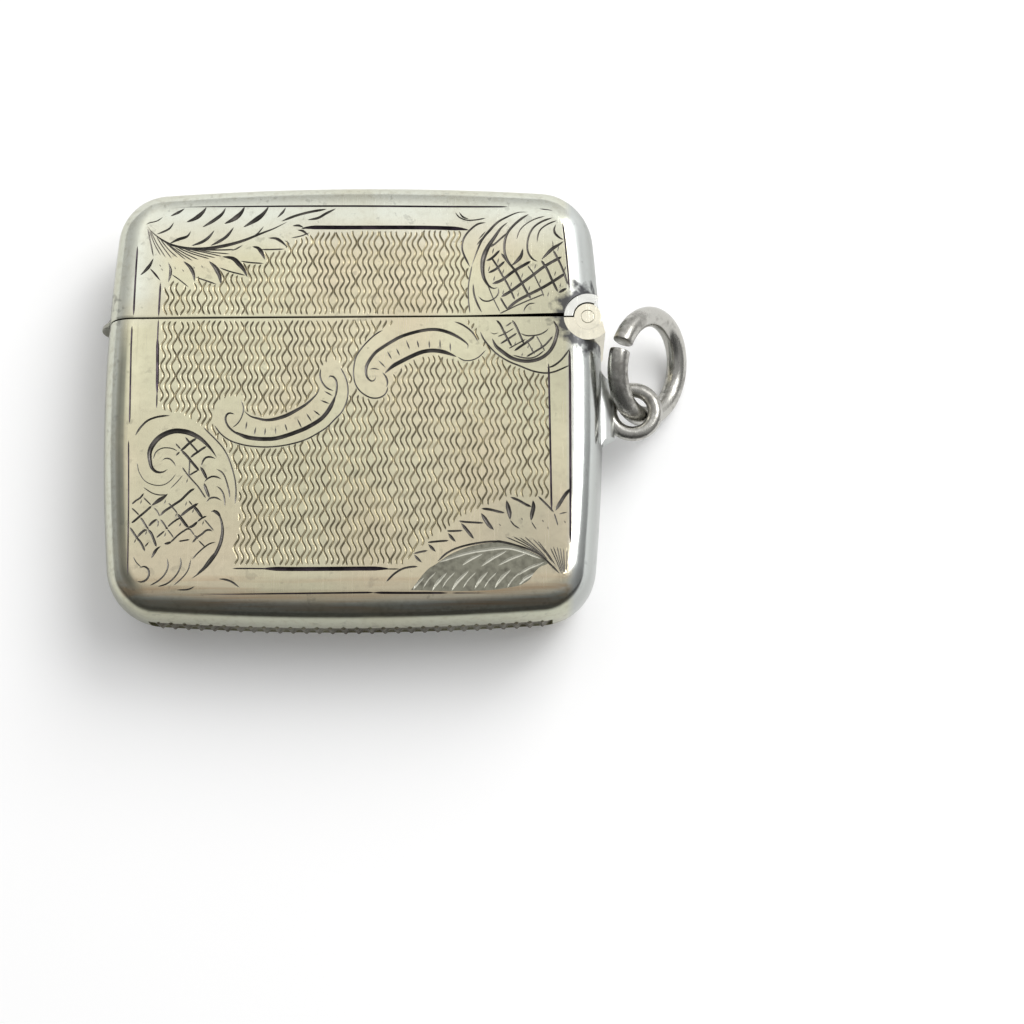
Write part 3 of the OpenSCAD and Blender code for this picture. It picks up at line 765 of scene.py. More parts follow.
# %% Leaf at the top left
lid_leaf = [
    cut(3, 186, 207, 180, 211.5, 170, 216.5), cut(4.5, 207, 206, 203, 212, 196, 218, 186, 222.5),
    cut(3.5, 226, 207, 222, 214, 213, 221, 202, 227.5), cut(5, 245, 206, 241, 213, 234, 219, 224, 224),
    cut(5, 269, 206, 264, 213, 257, 219, 243, 227.5), cut(2.5, 286, 207, 283, 212, 277, 218),
    cut(2.5, 327, 209, 310, 212, 295, 216, 281, 221.5), cut(2.5, 336, 208.5, 325, 214, 318, 218, 307, 220),
    cut(1.2, 163, 217, 157, 221, 149, 223, 146, 225), cut(2, 174, 222, 170, 228, 164, 231.5, 156, 234.5),
    cut(3, 191, 231, 187, 236.5, 178, 239.5, 169, 244), cut(3, 214.5, 230, 209, 237, 202, 242, 191, 246),
    cut(3, 234, 227, 227, 236, 219, 241.5, 210, 246), cut(1.5, 264, 226, 257, 234, 247, 239.5, 236, 243.5),
    cut(3.4, 147, 226, 152, 232, 160, 238.5, 171, 244.5, 185, 248, 200, 249, 215, 247.5, 232, 244, 245, 240,
        255, 236, 265, 232, 274, 228.5, 288, 221.5, blunt=20),
    cut(1.5, 171, 245, 190, 249, 215, 250, 235, 249.5), cut(1.5, 231, 251, 236, 249, 243, 245),
    cut(1.2, 148, 228, 150, 240, 153, 252), cut(1.2, 149, 229, 154, 243, 161, 256),
    cut(1.2, 150, 230, 157, 244, 166, 258), cut(1.2, 156, 236, 163, 247, 172, 259),
    cut(1.2, 160, 239, 169, 250, 178, 258), cut(1.2, 164, 241, 175, 251, 186, 260),
    cut(1.2, 168, 244, 180, 253, 193, 261), cut(1.2, 174, 247, 186, 254, 199, 260),
    cut(1.2, 178, 248, 193, 254, 210, 259), cut(1.2, 184, 249, 200, 254, 216, 258),
    cut(1.2, 190, 249.5, 207, 253, 222, 256.5), cut(1.2, 198, 250, 214, 252.5, 230, 254),
    cut(1.5, 147.5, 228, 151, 245, 153.5, 257), cut(3.5, 153.5, 258, 150, 265, 145, 271, 140, 275.5),
    cut(3, 168, 262, 170.5, 269, 170, 276, 168, 283), cut(1.3, 171, 274, 179, 279.5, 189, 287.5),
    cut(4, 183, 261, 190, 267, 193.5, 274, 194.5, 282), cut(1.5, 195, 277, 204, 280, 217, 284.5),
    cut(5, 208.5, 261, 214.5, 266.5, 219, 274, 221, 284.5), cut(1.5, 219, 267.5, 230, 271.5, 246, 275.5),
    cut(4.5, 222, 256.5, 233, 258.5, 239, 264, 244, 270, 247.5, 277.5),
    cut(1.5, 240, 261, 250, 262.5, 264, 263.5), cut(4, 252, 246.5, 258, 248, 262, 253, 265, 260),
    cut(1.5, 260, 249.5, 272, 249.5, 285, 249), cut(3, 268, 238, 276, 238.5, 282, 242, 287, 247),
    cut(1.2, 284, 240, 289, 244, 286, 248), cut(2.5, 292, 226, 299, 225.5, 304, 228),
    cut(2.5, 297, 230, 303, 231, 309, 236), cut(1.3, 291, 238, 301, 236, 310, 232.5),
    *(cut(1.2, x - 1, y - 1, x + 1, y + 2) for x, y in ((160, 265), (162, 269), (175, 267.5), (183, 270),
        (194, 267), (202, 266))),
]
print(len(lid_leaf), "strokes in the lid's leaf")

# %% [markdown]
# ## Scroll and trellis on the lid
# A C-scroll curls round a field of crossed lines, the trellis, with a tick in each lozenge. The fluted shell
# above it fills the corner, and the foot of the scroll runs over the parting line onto the body. An array would
# make a stiff net. A trellis cut by hand wavers, so each of its lines is a stroke of its own.

# %% Scroll at the top right
def crossed(width, *numbers):
    """A stroke of the trellis, which keeps its width nearly to its ends."""
    return cut(width, *numbers, blunt=1.2)


def ticks(length, *places):
    """Short, nearly upright strokes at the given places."""
    return [cut(1.3, x + 1, y - length / 2, x, y, x - 1, y + length / 2) for x, y in places]


lid_scroll = [
    cut(1.4, 455, 212, 459, 217, 466, 220, 475, 220, 486, 218), cut(2, 459, 212, 463, 217, 469, 219),
    cut(2, 486, 222.5, 478, 224, 470, 230, 464, 238, 462, 247, 464, 255, 470, 267),
    cut(2.6, 528, 212, 518, 212.5, 508, 216.5, 498, 222, 490, 230, 482, 240, 476, 254, 471, 268, blunt=20),
    cut(1.5, 472, 265, 468.5, 285, 468.5, 300, 470, 314), cut(1.3, 478, 240, 486, 231),
    cut(1.3, 476, 246, 484, 236),
    cut(5, 508, 222, 501, 228, 494, 238, 488, 247, 483.5, 258, 482.5, 268, 484, 278, 489, 286, 494, 288.5,
        498, 287, blunt=12),
    cut(2, 508, 232, 497, 242, 490, 248),
    cut(1.5, 498, 287, 498.5, 293, 495, 298, 489, 301, 483, 300.5, 478, 296),
    cut(2, 473, 283, 474, 294, 477, 303, 482, 313),
    cut(2.5, 529, 214, 521, 219, 513, 226, 507, 234, 504.5, 244, 505, 254, 509, 263, 515, 270),
    cut(4, 523, 248, 521, 256, 516, 262, 511, 266),
    cut(1.3, 545, 216, 535, 219, 526, 224, 520, 230, 517.5, 236, 516.5, 240),
    cut(2, 553, 217.5, 543, 221, 535, 226, 530, 233, 527.5, 242, 527.5, 250, 530, 256, 534, 260, 538, 261.5),
    cut(1.6, 557, 220.5, 548, 224, 541, 229, 538, 235, 537, 243),
    cut(2.5, 556, 224, 554, 230, 556, 234.5, 560, 238, 564, 240),
    cut(3.5, 564, 241, 559, 244.5, 552, 249, 546, 255, 541, 260), cut(1.2, 552, 240, 553, 245, 551, 250),
    crossed(2.5, 486, 261, 492, 258, 500, 250), crossed(2.5, 488, 273, 496, 269, 505, 261),
    crossed(3, 492, 284, 502, 280, 514, 271, 531, 261),
    crossed(3, 501, 297, 511, 291, 522, 283, 533, 275, 545, 266, 562, 256.5),
    crossed(3, 507, 309, 517, 301, 528, 295, 540, 289, 552, 282, 566, 273), crossed(3, 558, 293, 567, 288),
    crossed(2, 491, 257, 497, 266, 502, 275, 508, 285, 515, 300),
    crossed(2.4, 501, 253, 508, 262, 516, 272, 524, 287, 531, 299),
    crossed(1.5, 527, 265, 533, 273, 537, 281, 541, 289, 544, 297),
    crossed(2.5, 541, 260, 547, 269, 552, 280, 558, 292), crossed(2.2, 553, 250, 558, 259, 563, 270, 568, 285),
    crossed(2, 500, 297, 504, 304, 508, 310), cut(1.5, 536, 303, 529, 304, 525, 308, 523, 314),
    crossed(1.4, 499, 314, 520, 304, 544, 294), crossed(1.3, 487, 283, 493, 298, 500, 312),
    crossed(1.3, 485, 250, 495, 243),
    *ticks(7, (493, 251), (498, 261), (489, 269), (503, 272), (494, 279), (511, 285), (522, 276), (535, 267),
           (540, 282), (529, 289), (518, 295), (555, 274), (565, 269), (558, 249), (566, 251), (560, 286),
           (548, 295), (503, 293)),
]
scroll_foot = [
    crossed(2.2, 496, 320, 500, 324, 505, 334, 512, 347), crossed(2.2, 512, 320, 516, 326, 520, 335, 524, 344),
    crossed(2, 500, 344, 508, 339, 517, 333), crossed(2.5, 514, 351, 521, 346, 527, 342, 535, 336),
    crossed(1.5, 505, 327, 512, 322), crossed(2, 526, 357, 536, 351, 545, 345, 553, 336),
    cut(1.5, 520, 333, 526, 335.5, 534, 335.5, 541, 334, 546, 331, 549, 328),
    cut(1, 490, 332, 494, 334, 499, 332.5), crossed(1.3, 526, 339, 531, 348, 535, 355),
    crossed(1.3, 536, 335, 541, 344, 545, 351), crossed(1.3, 508, 349, 517, 344, 526, 339),
    crossed(1.3, 497, 337, 506, 333, 514, 328),
    cut(3.6, 492, 338, 496, 346, 503, 352, 511, 357.5, 520, 360.5, 530, 361, 540, 358.5, 548, 353, 553, 346,
        556, 338, 557.5, 330, 556, 325, 553, 320),
    cut(1.5, 512, 355, 525, 358, 535, 357, 545, 350),
    cut(1.7, 480, 331, 483, 338, 489, 346, 497, 354, 508, 361, 520, 366, 533, 371, 545, 373, 555, 371.5,
        570, 365),
    cut(2, 570, 348, 566, 354, 560, 361, 553, 366, 546, 368),
    *ticks(6, (505, 333), (515, 344), (528, 347), (522, 355), (541, 346), (532, 350)),
]
print(len(lid_scroll), "strokes in the lid's scroll,", len(scroll_foot), "in its foot")

# %% [markdown]
# ## Two C-scrolls in the field
# Each is a band between two swelling lines, ribbed across like a shell and curled up at both ends. A thin outer
# line keeps the waves at a distance. The ribs could be arrayed along a curve, but a hand never spaces them evenly.

# %% C-scrolls
low_scroll = [
    cut(1.3, 241, 400, 243.5, 408, 242, 416, 238, 423, 232, 428),
    cut(2, 235, 414.5, 230, 413, 226.5, 415, 225.5, 420, 228, 426, 233, 431, 238, 434, 245, 436.5),
    cut(4, 233, 431, 245, 436.5, 255, 438.5, 265, 439, 275, 438.5, 285, 436, 295, 432.5, 305, 428.5, 315, 423,
        322, 418, 328, 411, 333, 402, 336, 394),
    cut(2, 334, 400, 336, 394, 337, 386, 336, 380, 333, 376.5, 330, 376, 328, 379),
    cut(3.6, 243, 410, 250, 416, 258, 418.5, 266, 420, 275, 419, 285, 416, 295, 411, 305, 405, 313, 398, 318, 392,
        320, 386.5, blunt=12),
    cut(1.7, 247, 421, 245.5, 430.5), cut(1.7, 256, 426.5, 254, 436), cut(1.7, 265.5, 427.5, 264.5, 436),
    cut(1.7, 275.5, 427, 275.5, 434.5), cut(1.7, 284.5, 423, 287.5, 432), cut(1.7, 297, 418.5, 302, 428.5),
    cut(1.7, 306, 413, 312, 422), cut(1.7, 313, 410, 321, 416), cut(1.7, 320, 400, 330, 404),
    cut(1.7, 324, 391, 333, 396), cut(1.8, 321, 368, 320, 375, 322, 382, 327, 388, 334, 391),
    cut(1.5, 340, 367, 344, 374, 347, 382, 348, 390, 347.5, 398, 345, 406, 341, 413, 335, 419, 327, 427, 318, 433,
        307, 439, 295, 443, 280, 446, 265, 447, 250, 446, 240, 444, 230, 440.5, 221, 434, 214, 425),
]
high_scroll = [
    cut(1.5, 383, 330, 376, 334, 368, 341, 361, 349, 356, 357, 354, 366, 353.5, 374, 355, 383, 359, 390, 365, 395,
        372, 398, 380, 397.5, 386, 393, 388, 386),
    cut(1.8, 454, 321.5, 462, 324.5, 470, 330, 475, 336, 478, 342),
    cut(1.2, 457, 356.5, 463, 360, 470, 360.5, 478, 357.5, 486, 350), cut(1.2, 471, 330, 474, 325),
    cut(1.4, 479, 330, 481, 332), cut(1.4, 470, 347, 472, 349), cut(1.4, 467, 336, 469, 338),
    cut(3.2, 376, 376.5, 374.5, 380, 371, 381, 367, 377, 366, 371, 367, 365, 371, 358, 376, 352, 383, 347,
        391, 342, 400, 337, 410, 333.5, 420, 331, 430, 329.5, 440, 330, 450, 333, 458, 337, 464, 341, 468, 345,
        467, 350, blunt=8),
    cut(4, 384, 374, 393, 366, 402, 361, 412, 356, 422, 352, 432, 350.5, 442, 351.5, 450, 354, 457, 357),
    cut(1.3, 369, 369.5, 374, 368.5, 380, 370), cut(2, 382, 372, 386, 377, 387.5, 383, 386, 388),
    cut(1.5, 378, 360, 386, 368), cut(1.7, 387, 351, 392, 359.5), cut(1.7, 396, 348, 400, 356),
    cut(1.7, 406, 340, 410, 350), cut(1.7, 417, 340, 419, 348.5), cut(1.7, 429, 340, 429.5, 349),
    cut(1.7, 440, 339, 440, 350), cut(1.7, 450, 342, 450.5, 352),
]
print(len(low_scroll), "and", len(high_scroll), "strokes in the two C-scrolls")

# %% [markdown]
# ## Shell and trellis at the base
# The lower left corner mirrors the lid's scroll: a thick volute, a trellis field under it, scallops along its
# rim, and a big C that sweeps down to flutes in the corner. It isn't a mirrored copy of the lid's strokes, because
# the engraver drew it afresh and fitted it to the room there.

# %% Ornament at the bottom left
base_scroll = [
    cut(2, 135, 436, 140, 428, 147, 421, 155, 417.5, 163, 416, 170, 415.5),
    cut(5, 217, 458, 211, 449, 205, 442.5, 199, 437.5, 191, 433.5, 184, 431.5, 175, 431, 166, 433.5, 158, 438.5,
        152, 446, 149.5, 453, 150, 461, 152, 468, 157, 472, 163, 472, 168, 469, blunt=8),
    cut(1.2, 153, 460, 156, 452, 163, 448, 172, 448.5, 178, 451.5),
    cut(1.5, 162, 461, 165, 458.5, 170, 459, 174, 463, 176, 467),
    cut(1, 137, 462, 139, 472, 145, 481, 154, 485, 163, 485, 170, 481, 176, 474),
    cut(1, 170, 489, 177, 482, 183, 475), cut(1.2, 143, 487, 152, 493, 160, 495, 167, 494.5),
    cut(4.2, 168, 493.5, 164, 497, 158, 501, 151, 506),
    crossed(1.8, 131.5, 504.5, 136, 500.5, 140, 498, 144, 493),
    crossed(2.2, 131, 523.5, 136, 519.5, 140, 516, 146, 511, 152, 505.5),
    crossed(2.4, 137, 537.5, 141, 533, 145, 530, 148, 530),
    crossed(2.4, 148, 527, 151, 523.5, 154, 521, 157.5, 519),
    crossed(2.4, 160, 516, 164, 511.5, 170, 507.5, 175, 504, 181, 500, 186, 495, 191, 490.5, 195, 488.5),
    crossed(1.6, 144, 547.5, 149, 542), crossed(1.8, 156, 538, 159, 535.5, 165, 530.5),
    crossed(1.8, 167, 527.5, 172, 523, 177, 519.5, 181, 517.5),
    crossed(2.8, 180, 516.5, 186, 511.5, 190, 508.5, 194, 506, 198.5, 503),
    crossed(2.6, 163.5, 544, 168, 543.2, 172, 541.5),
    crossed(1.8, 170, 542.5, 173, 540, 177, 536, 182, 532, 187, 529, 190, 527.5),
    crossed(2.6, 187, 527.5, 190.5, 527, 194, 525, 198, 521),
    crossed(1.8, 197, 522, 200, 519.5, 203, 517.5, 207, 516), crossed(1.6, 178, 541.5, 184, 540.5, 190, 539.5),
    crossed(2, 192, 543, 197, 537.5, 202, 534, 206, 530.5, 210, 530, 213, 531.5),
    crossed(1.6, 131, 507.5, 135, 511, 139.5, 515.5), crossed(2, 140, 517, 143, 521, 146, 526, 149, 530),
    crossed(2.6, 147.5, 529, 151, 533, 153, 537.5, 155, 543, 156.5, 547),
    crossed(2.2, 129.5, 527, 133, 532, 137, 538, 141, 543, 145, 551.5),
    crossed(1.5, 143, 497, 148, 502, 151.5, 505.5), crossed(1.5, 153, 507, 157, 511, 160, 517),
    crossed(1.8, 156.5, 519, 158, 522, 158.5, 525), crossed(1.8, 160, 519, 164, 524, 167, 529),
    crossed(2.6, 165, 526.5, 166.5, 528, 168, 529.5), crossed(1.5, 167, 529, 171, 534, 174, 538.5),
    crossed(1.6, 168, 502.5, 173, 508, 178, 514), crossed(3, 177, 513.5, 180, 517, 183, 521, 186, 525, 189, 528),
    crossed(1.5, 189, 528, 192, 532, 195, 536), crossed(2.4, 193.5, 534.5, 196, 537, 198, 539.5),
    crossed(1.5, 198, 540, 202, 544, 206, 548), crossed(1.5, 188, 500, 193, 506),
    crossed(3, 192.5, 505.5, 197, 510, 200, 514.5, 203, 518), crossed(1.5, 204, 519, 209, 525, 214, 531),
    crossed(1.8, 175.5, 456, 180, 451.5), crossed(2.5, 180, 451, 184, 448, 190, 442.5, 197, 438),
    crossed(2.2, 190, 458, 194, 454.5, 198.5, 451.5, 202, 449, 207, 446),
    crossed(1.8, 188.5, 476, 193, 473, 198.5, 470), crossed(1.6, 175, 443, 181, 449.5),
    crossed(2.6, 181, 450, 187, 456, 191, 461, 196, 467, 199.5, 471),
    crossed(2, 185, 437, 190, 443, 194, 447.5, 198.5, 452.5), crossed(1.5, 189.5, 459, 189.5, 466, 188.5, 478),
    crossed(1.6, 182, 467, 187, 474, 190, 477.5, 194, 482, 198, 486.5, 203, 494, 206, 498.5),
    crossed(3, 200, 466.5, 203, 471, 205, 475, 207, 479.5), crossed(3, 204, 483, 206, 489, 209.5, 498),
    *ticks(6, (141, 502), (165, 502), (176, 515), (193, 511), (186, 504), (165, 535), (146, 533), (135, 541),
           (158, 525), (203, 523), (187, 481), (180, 525)),
    cut(1.5, 203, 427, 210, 434, 217, 441, 223, 448, 228, 457, 232, 468, 235, 480, 236, 492, 235, 505),
    cut(2, 216, 459, 211, 457, 206, 457.5, 203, 461, 201, 467),
    cut(1.8, 222, 479.5, 217, 477, 212, 476.5, 207, 479, 204, 483),
    cut(1.8, 222, 501, 217, 498, 213, 497.5, 209, 499, 206, 503),
    cut(1.6, 216, 469, 221, 471.5, 224, 475, 226, 480, 228, 487, 229.5, 494, 229.5, 499),
    cut(1.6, 216, 486, 220, 488.5, 223, 493, 224.5, 499, 225, 507),
    cut(3.6, 210.5, 511.5, 214, 511, 218, 513.5, 221, 518),
    cut(3.5, 211, 511, 216, 512.5, 220, 517, 222, 524, 222.5, 532, 221, 541, 218, 549, 213, 558, 206, 567,
        198, 574, 191, 579, blunt=10),
    cut(1.5, 216, 542, 209, 544, 201, 550, 195, 556, 192, 560), cut(1.5, 215, 552, 208, 561, 203, 568, 196, 575),
    cut(3, 151, 559, 156, 550, 161, 546),
    cut(2, 139, 568, 144, 566.5, 148, 569, 149, 575, 146, 580, 141, 582, 136, 581),
    cut(1.2, 133, 556, 136, 562, 142, 568), cut(1.6, 167, 558, 168, 566, 165, 574, 158, 581, 149, 586),
    cut(1.6, 180, 557, 181, 564, 177, 574, 168, 583, 157, 587), cut(1.3, 191, 559, 188, 570, 182, 578, 173, 586),
    cut(2, 195, 586, 188, 589.5, 175, 590), cut(2, 218, 579, 225, 579.5, 232, 582, 240, 588),
]
print(len(base_scroll), "strokes at the base's left")

# %% [markdown]
# ## Leaf at the base
# The second acanthus leaf answers the one on the lid. It folds over along a long curved line, and its upper edge
# is a row of teeth, each a broad cut and a thin one that leads to the next. Such cuts have to meet, so they taper
# later than the others.

# %% Leaf at the bottom right
def tooth(width, *numbers):
    """A cut of the leaf's toothed edge, blunt enough to meet the next one."""
    return cut(width, *numbers, blunt=1.6)


base_leaf = [
    tooth(3.5, 571, 488, 565, 495, 560, 503, 555, 511), tooth(2, 538, 496, 543, 501, 549, 507, 554, 512.5),
    tooth(1.5, 554, 513, 556, 519, 558, 526), tooth(4, 533, 500, 533.5, 507, 532, 514, 531, 521),
    tooth(1.2, 531, 521, 534, 526, 537, 530), tooth(2.5, 510, 497, 518, 500, 526, 504.5, 532, 507),
    tooth(4.5, 506.5, 500, 508, 507, 509.5, 513, 510, 520), tooth(1.5, 510, 520, 514, 525, 520, 529),
    tooth(2.5, 481, 508.5, 490, 509.5, 498, 511.5, 505, 513), tooth(4, 481, 513, 485, 519, 489, 525, 494, 530),
    tooth(2, 458, 521, 466, 522, 475, 522.5, 484, 523), tooth(3, 461, 523, 466, 529, 470, 534, 474, 539),
    tooth(2, 446, 531, 454, 531, 463, 530.5), tooth(3, 448, 533, 452, 538, 456, 542),
    tooth(2, 427, 542.5, 436, 541.5, 449, 540.5), tooth(3, 428, 544, 432, 548, 436, 552),
    tooth(2, 413, 554, 420, 552, 428, 550.5), tooth(2.5, 414, 554.5, 418, 559, 422, 562.5),
    tooth(2, 386, 582, 394, 574, 402, 569, 410, 567, 418, 566.5),
    cut(2, 437, 562, 447, 553, 460, 547, 478, 543, 495, 541.5, 510, 544, 525, 548, 540, 555, 552, 566, 560, 574),
    cut(1.2, 562, 575, 556, 560, 550, 547), cut(1.2, 563, 575, 558, 560, 553, 546),
    cut(1.2, 564, 574, 560, 560, 557, 546), cut(1.2, 564.5, 574, 562, 560, 560, 547),
    cut(1.2, 565, 574, 564, 560, 563.5, 548), cut(1.2, 566, 574, 567, 562, 567, 549),
    cut(1.2, 556, 566, 548, 554, 537, 540), cut(1.2, 553, 563, 545, 552, 532, 538),
    cut(1.2, 548, 560, 538, 549, 524, 536), cut(1.2, 545, 558, 533, 547, 519, 537),
    cut(1.2, 540, 554, 528, 545, 512, 536), cut(1.2, 535, 551, 522, 544, 505, 536.5),
    cut(1.2, 525, 548, 510, 543, 495, 540), cut(1.4, 558, 514.5, 563, 513, 568, 512),
    *(cut(1.2, x - 1, y - 1.5, x + 1, y + 1.5) for x, y in ((522, 519), (543, 521), (548, 528), (500, 525),
        (565, 522))),
]
print(len(base_leaf), "strokes in the base's leaf")

# %% [markdown]
# ## The matted fold
# The folded part below the leaf was matted with a punch until it looked dark grey, and bright strokes were cut
# back through it. Thousands of punch dots could be modelled, but from here they only dull the silver, so the fold
# is a shallow pocket with a dull finish on its floor and grooves of polished silver in it.

# %% Matted fold with bright cuts
matted_depth, fold_lift = 0.03, 0.2
fold_outline = (411, 590, 426, 571, 436, 564, 451, 554, 470, 546.5, 489, 543, 504, 542.5, 515, 545.5,
                527.5, 550.5, 539, 556, 548, 563, 540, 567, 534, 573, 529, 580, 519, 585.5, 505, 588, 490, 590,
                451, 591)
bright_strokes = [
    cut(2.6, 436, 562.5, 465, 553.7, 485, 550, 507.5, 548, 526, 552.5, 541, 558.7),
    cut(2.8, 413, 590, 417, 584, 424, 577.5), cut(3.2, 432, 591, 437, 583, 447, 572.5),
    cut(3.2, 451.5, 591, 458, 581, 469, 570.5), cut(3.2, 474.5, 589, 480, 580, 488, 571.5),
    cut(3.2, 494.5, 588.5, 501, 578.5, 511, 569.5), cut(3.2, 519, 585, 526, 578, 537, 572),
    cut(2.6, 462, 565.5, 471, 559, 483, 553.5), cut(2.6, 481, 566.5, 492, 558.5, 507, 550.5),
    cut(2.6, 498, 565.5, 511, 558.5, 528, 552.5), cut(2.6, 517, 575.5, 529, 568, 544.5, 562),
    *(cut(1.2, x, 588, x + 5, 580, x + 13, 572) for x in (423, 442, 463, 484, 507)),
]


def fold_cutter(name):
    """A shallow pocket of the fold's outline, with the matted finish on its floor."""
    shape = bmesh.new()
    points = [Vector(pair) for pair in zip(fold_outline[::2], fold_outline[1::2])]
    places = [on_panel(*p) for p in eased([*points, points[0]])[:-1]]
    raise_up(shape, [shape.verts.new((p.x, p.y, case_t - matted_depth)) for p in places], fold_lift)
    for face in shape.faces:
        face.material_index = matted_at
    return piece_from(shape, name, shell_finishes)


print(len(bright_strokes), "bright cuts in the matted fold")

# %% [markdown]
# ## Engine-turned waves
# The field is cut on a rose engine: the work rocks from side to side while a fixed tool draws it past, and after
# every four lines the rocking is shifted by half a wave. Where neighbours rock apart they open into a chain of
# lozenges. The work sat a little askew in the chuck, so the whole field is turned by just over a degree. The
# lines stop at the ornament, so points of each line inside an ornament's outline are dropped.

# %% Field of waves
wave_gap, wave_length, wave_rock, wave_w, wave_blunt = 0.4795, 1.776, 0.18, 0.2, 1.2
wave_lines, lines_in_bundle, points_in_wave, fewest_points = 80, 4, 12, 5
wave_reach, part_margin = 18, 0.16
wave_turn = Matrix.Rotation(math.radians(-1.35), 2)
wave_first, wave_middle = -17.122, -0.35
kept_free = [
    (140, 200, 320, 200, 310, 229, 309, 234.5, 286, 240, 287.5, 249.5, 262, 250.5, 265, 264, 241.5, 262,
     247, 277.5, 220, 268.5, 220, 285.5, 194.5, 274, 191, 288, 169, 276, 167, 286, 160, 282, 140, 282),
    (469, 230, 464, 238, 462, 247, 464, 255, 470, 267, 468.5, 285, 468.5, 300, 470, 316, 480, 331, 483, 338,
     489, 346, 497, 354, 508, 361, 520, 366, 533, 371, 545, 373, 555, 371.5, 570, 365, 600, 360, 600, 200,
     455, 200),
    (340, 366, 344, 374, 347, 382, 348, 390, 347.5, 398, 345, 406, 341, 413, 335, 419, 327, 427, 318, 433,
     307, 439, 295, 443, 280, 446, 265, 447, 250, 446, 240, 444, 230, 440.5, 221, 434, 214, 425, 214, 413,
     217, 405, 224, 400, 233, 398, 240, 400, 243, 405, 246, 411, 252, 415.5, 262, 418, 276, 417, 288, 413.5,
     298, 408, 308, 401, 316, 393, 320.5, 386, 319.5, 376, 321, 368, 328, 364, 333, 360),
    (454, 319, 463, 324, 471, 330, 478, 340, 483, 350, 478, 358, 470, 361, 462, 361, 455, 358, 442, 355, 432, 354,
     422, 355.5, 412, 359.5, 402, 364.5, 394, 370, 389, 376, 389, 385, 386, 393, 380, 398.5, 372, 399, 364, 396,
     358, 391, 354, 384, 352.5, 374, 353, 366, 355.5, 356, 361, 347.5, 368, 340, 376, 333, 384, 329, 395, 325,
     410, 322, 430, 319),
    (125, 440, 140, 424, 152, 416, 168, 412, 182, 415, 194, 422, 204, 429, 213, 436, 221, 443, 227, 452, 232, 464,
     236, 478, 238, 492, 237, 508, 238, 522, 236, 535, 232, 545, 234, 556, 231, 570, 125, 575),
    (400, 569, 413, 556, 414, 553, 427, 542, 446, 531, 458, 521, 481, 508, 506, 500, 510, 497, 533, 499, 538, 495,
     552, 510, 600, 480, 600, 620, 400, 620),
]


def inside(spots, outline):
    """Which of the spots lie inside a closed outline, by counting the edges to their right."""
    hit = numpy.zeros(len(spots), bool)
    for (ax, ay), (bx, by) in zip(outline, numpy.roll(outline, 1, axis=0)):
        across = (ay > spots[:, 1]) != (by > spots[:, 1])
        hit ^= across & (spots[:, 0] < ax + (bx - ax) * (spots[:, 1] - ay) / (by - ay + 1e-12))
    return hit


outlines = [numpy.array([on_panel(*p).xy for p in zip(o[::2], o[1::2])]) for o in kept_free]
left, right = on_panel(158.5, 400).x, on_panel(549.5, 450).x
low, high = on_panel(300, 566.5).y, on_panel(380, 230).y
waves = ([], [])
for line in range(wave_lines):
    bundle = line // lines_in_bundle
    along = numpy.arange(-wave_reach, wave_reach, wave_length / points_in_wave)
    swing = 2 * math.pi * (along - wave_middle) / wave_length
    rock = numpy.cos(swing) * wave_rock * (-1) ** bundle
    across = wave_first + wave_gap * (line + 0.5) + rock
    spots = numpy.column_stack([across, along]) @ numpy.array(wave_turn).T
    free = ~numpy.any([inside(spots, o) for o in outlines], axis=0)
    free &= numpy.abs(spots[:, 1] - part_y) > part_margin
    free &= (spots[:, 0] > left) & (spots[:, 0] < right) & (spots[:, 1] > low) & (spots[:, 1] < high)
    for run in numpy.split(numpy.arange(len(spots)), numpy.flatnonzero(numpy.diff(free)) + 1):
        if free[run[0]] and len(run) >= fewest_points:
            waves[bundle % 2].append(ploughed(spots[run], wave_w, wave_blunt))
print(len(waves[0]) + len(waves[1]), "wave lines")

# %% [markdown]
# ## Cutting it all
# Waves go first, as on the engine, then the hand-cut ornament. Each sheet only gets the strokes that reach it. All
# its cutters are stacked as Boolean modifiers and worked out together, because applying them one by one would
# rebuild a heavy mesh each time.

# %% Engraving the lid and the body
wave_slope, bright_slope, overlap = 0.5, 0.35, 0.2
by_hand = kept_apart([*lid_leaf, *lid_scroll, *scroll_foot, *low_scroll, *high_scroll, *base_scroll, *base_leaf])
print("hand-cut strokes in", len(by_hand), "groups of", [len(group) for group in by_hand])
for name, reaches in (("lid_front_sheet", lambda s: s[:, 1].max() > part_y - overlap),
                      ("body_front_sheet", lambda s: s[:, 1].min() < part_y + overlap)):
    cutters = [groove_cutter("wave", [s for s in bundle if reaches(s)], wave_at, wave_slope) for bundle in waves]
    if name == "body_front_sheet":
        cutters.append(fold_cutter("fold"))
        for group in kept_apart(bright_strokes):
            cutters.append(groove_cutter("bright", group, bright_at, bright_slope, matted_depth))
    for group, finish_at in [*((g, border_at) for g in kept_apart(borders)), *((g, cut_at) for g in by_hand)]:
        strokes = [s for s in group if reaches(s)]
        if strokes:
            cutters.append(groove_cutter("stroke", strokes, finish_at))
    take_away(shells[name], cutters)

# %% [markdown]
# ## Clean shading and the back
# Cut metal needs crisp edges, while the rolled edge has to shade as one soft curve. Every edge sharper than a
# limit is marked sharp and the rest is smooth. The back of such a case carries the same work as the front, so
# each back sheet is its front one mirrored through the middle of the thickness.

# %% Shading, mirror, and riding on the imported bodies
sheet_limit, filed_limit = 25, 35


def crisp(shape, limit=sheet_limit):
    """Smooth faces, with the edges sharper than the limit kept sharp."""
    for face in shape.faces:
        face.smooth = True
    for edge in shape.edges:
        edge.smooth = len(edge.link_faces) == 2 and edge.calc_face_angle(0) < math.radians(limit)


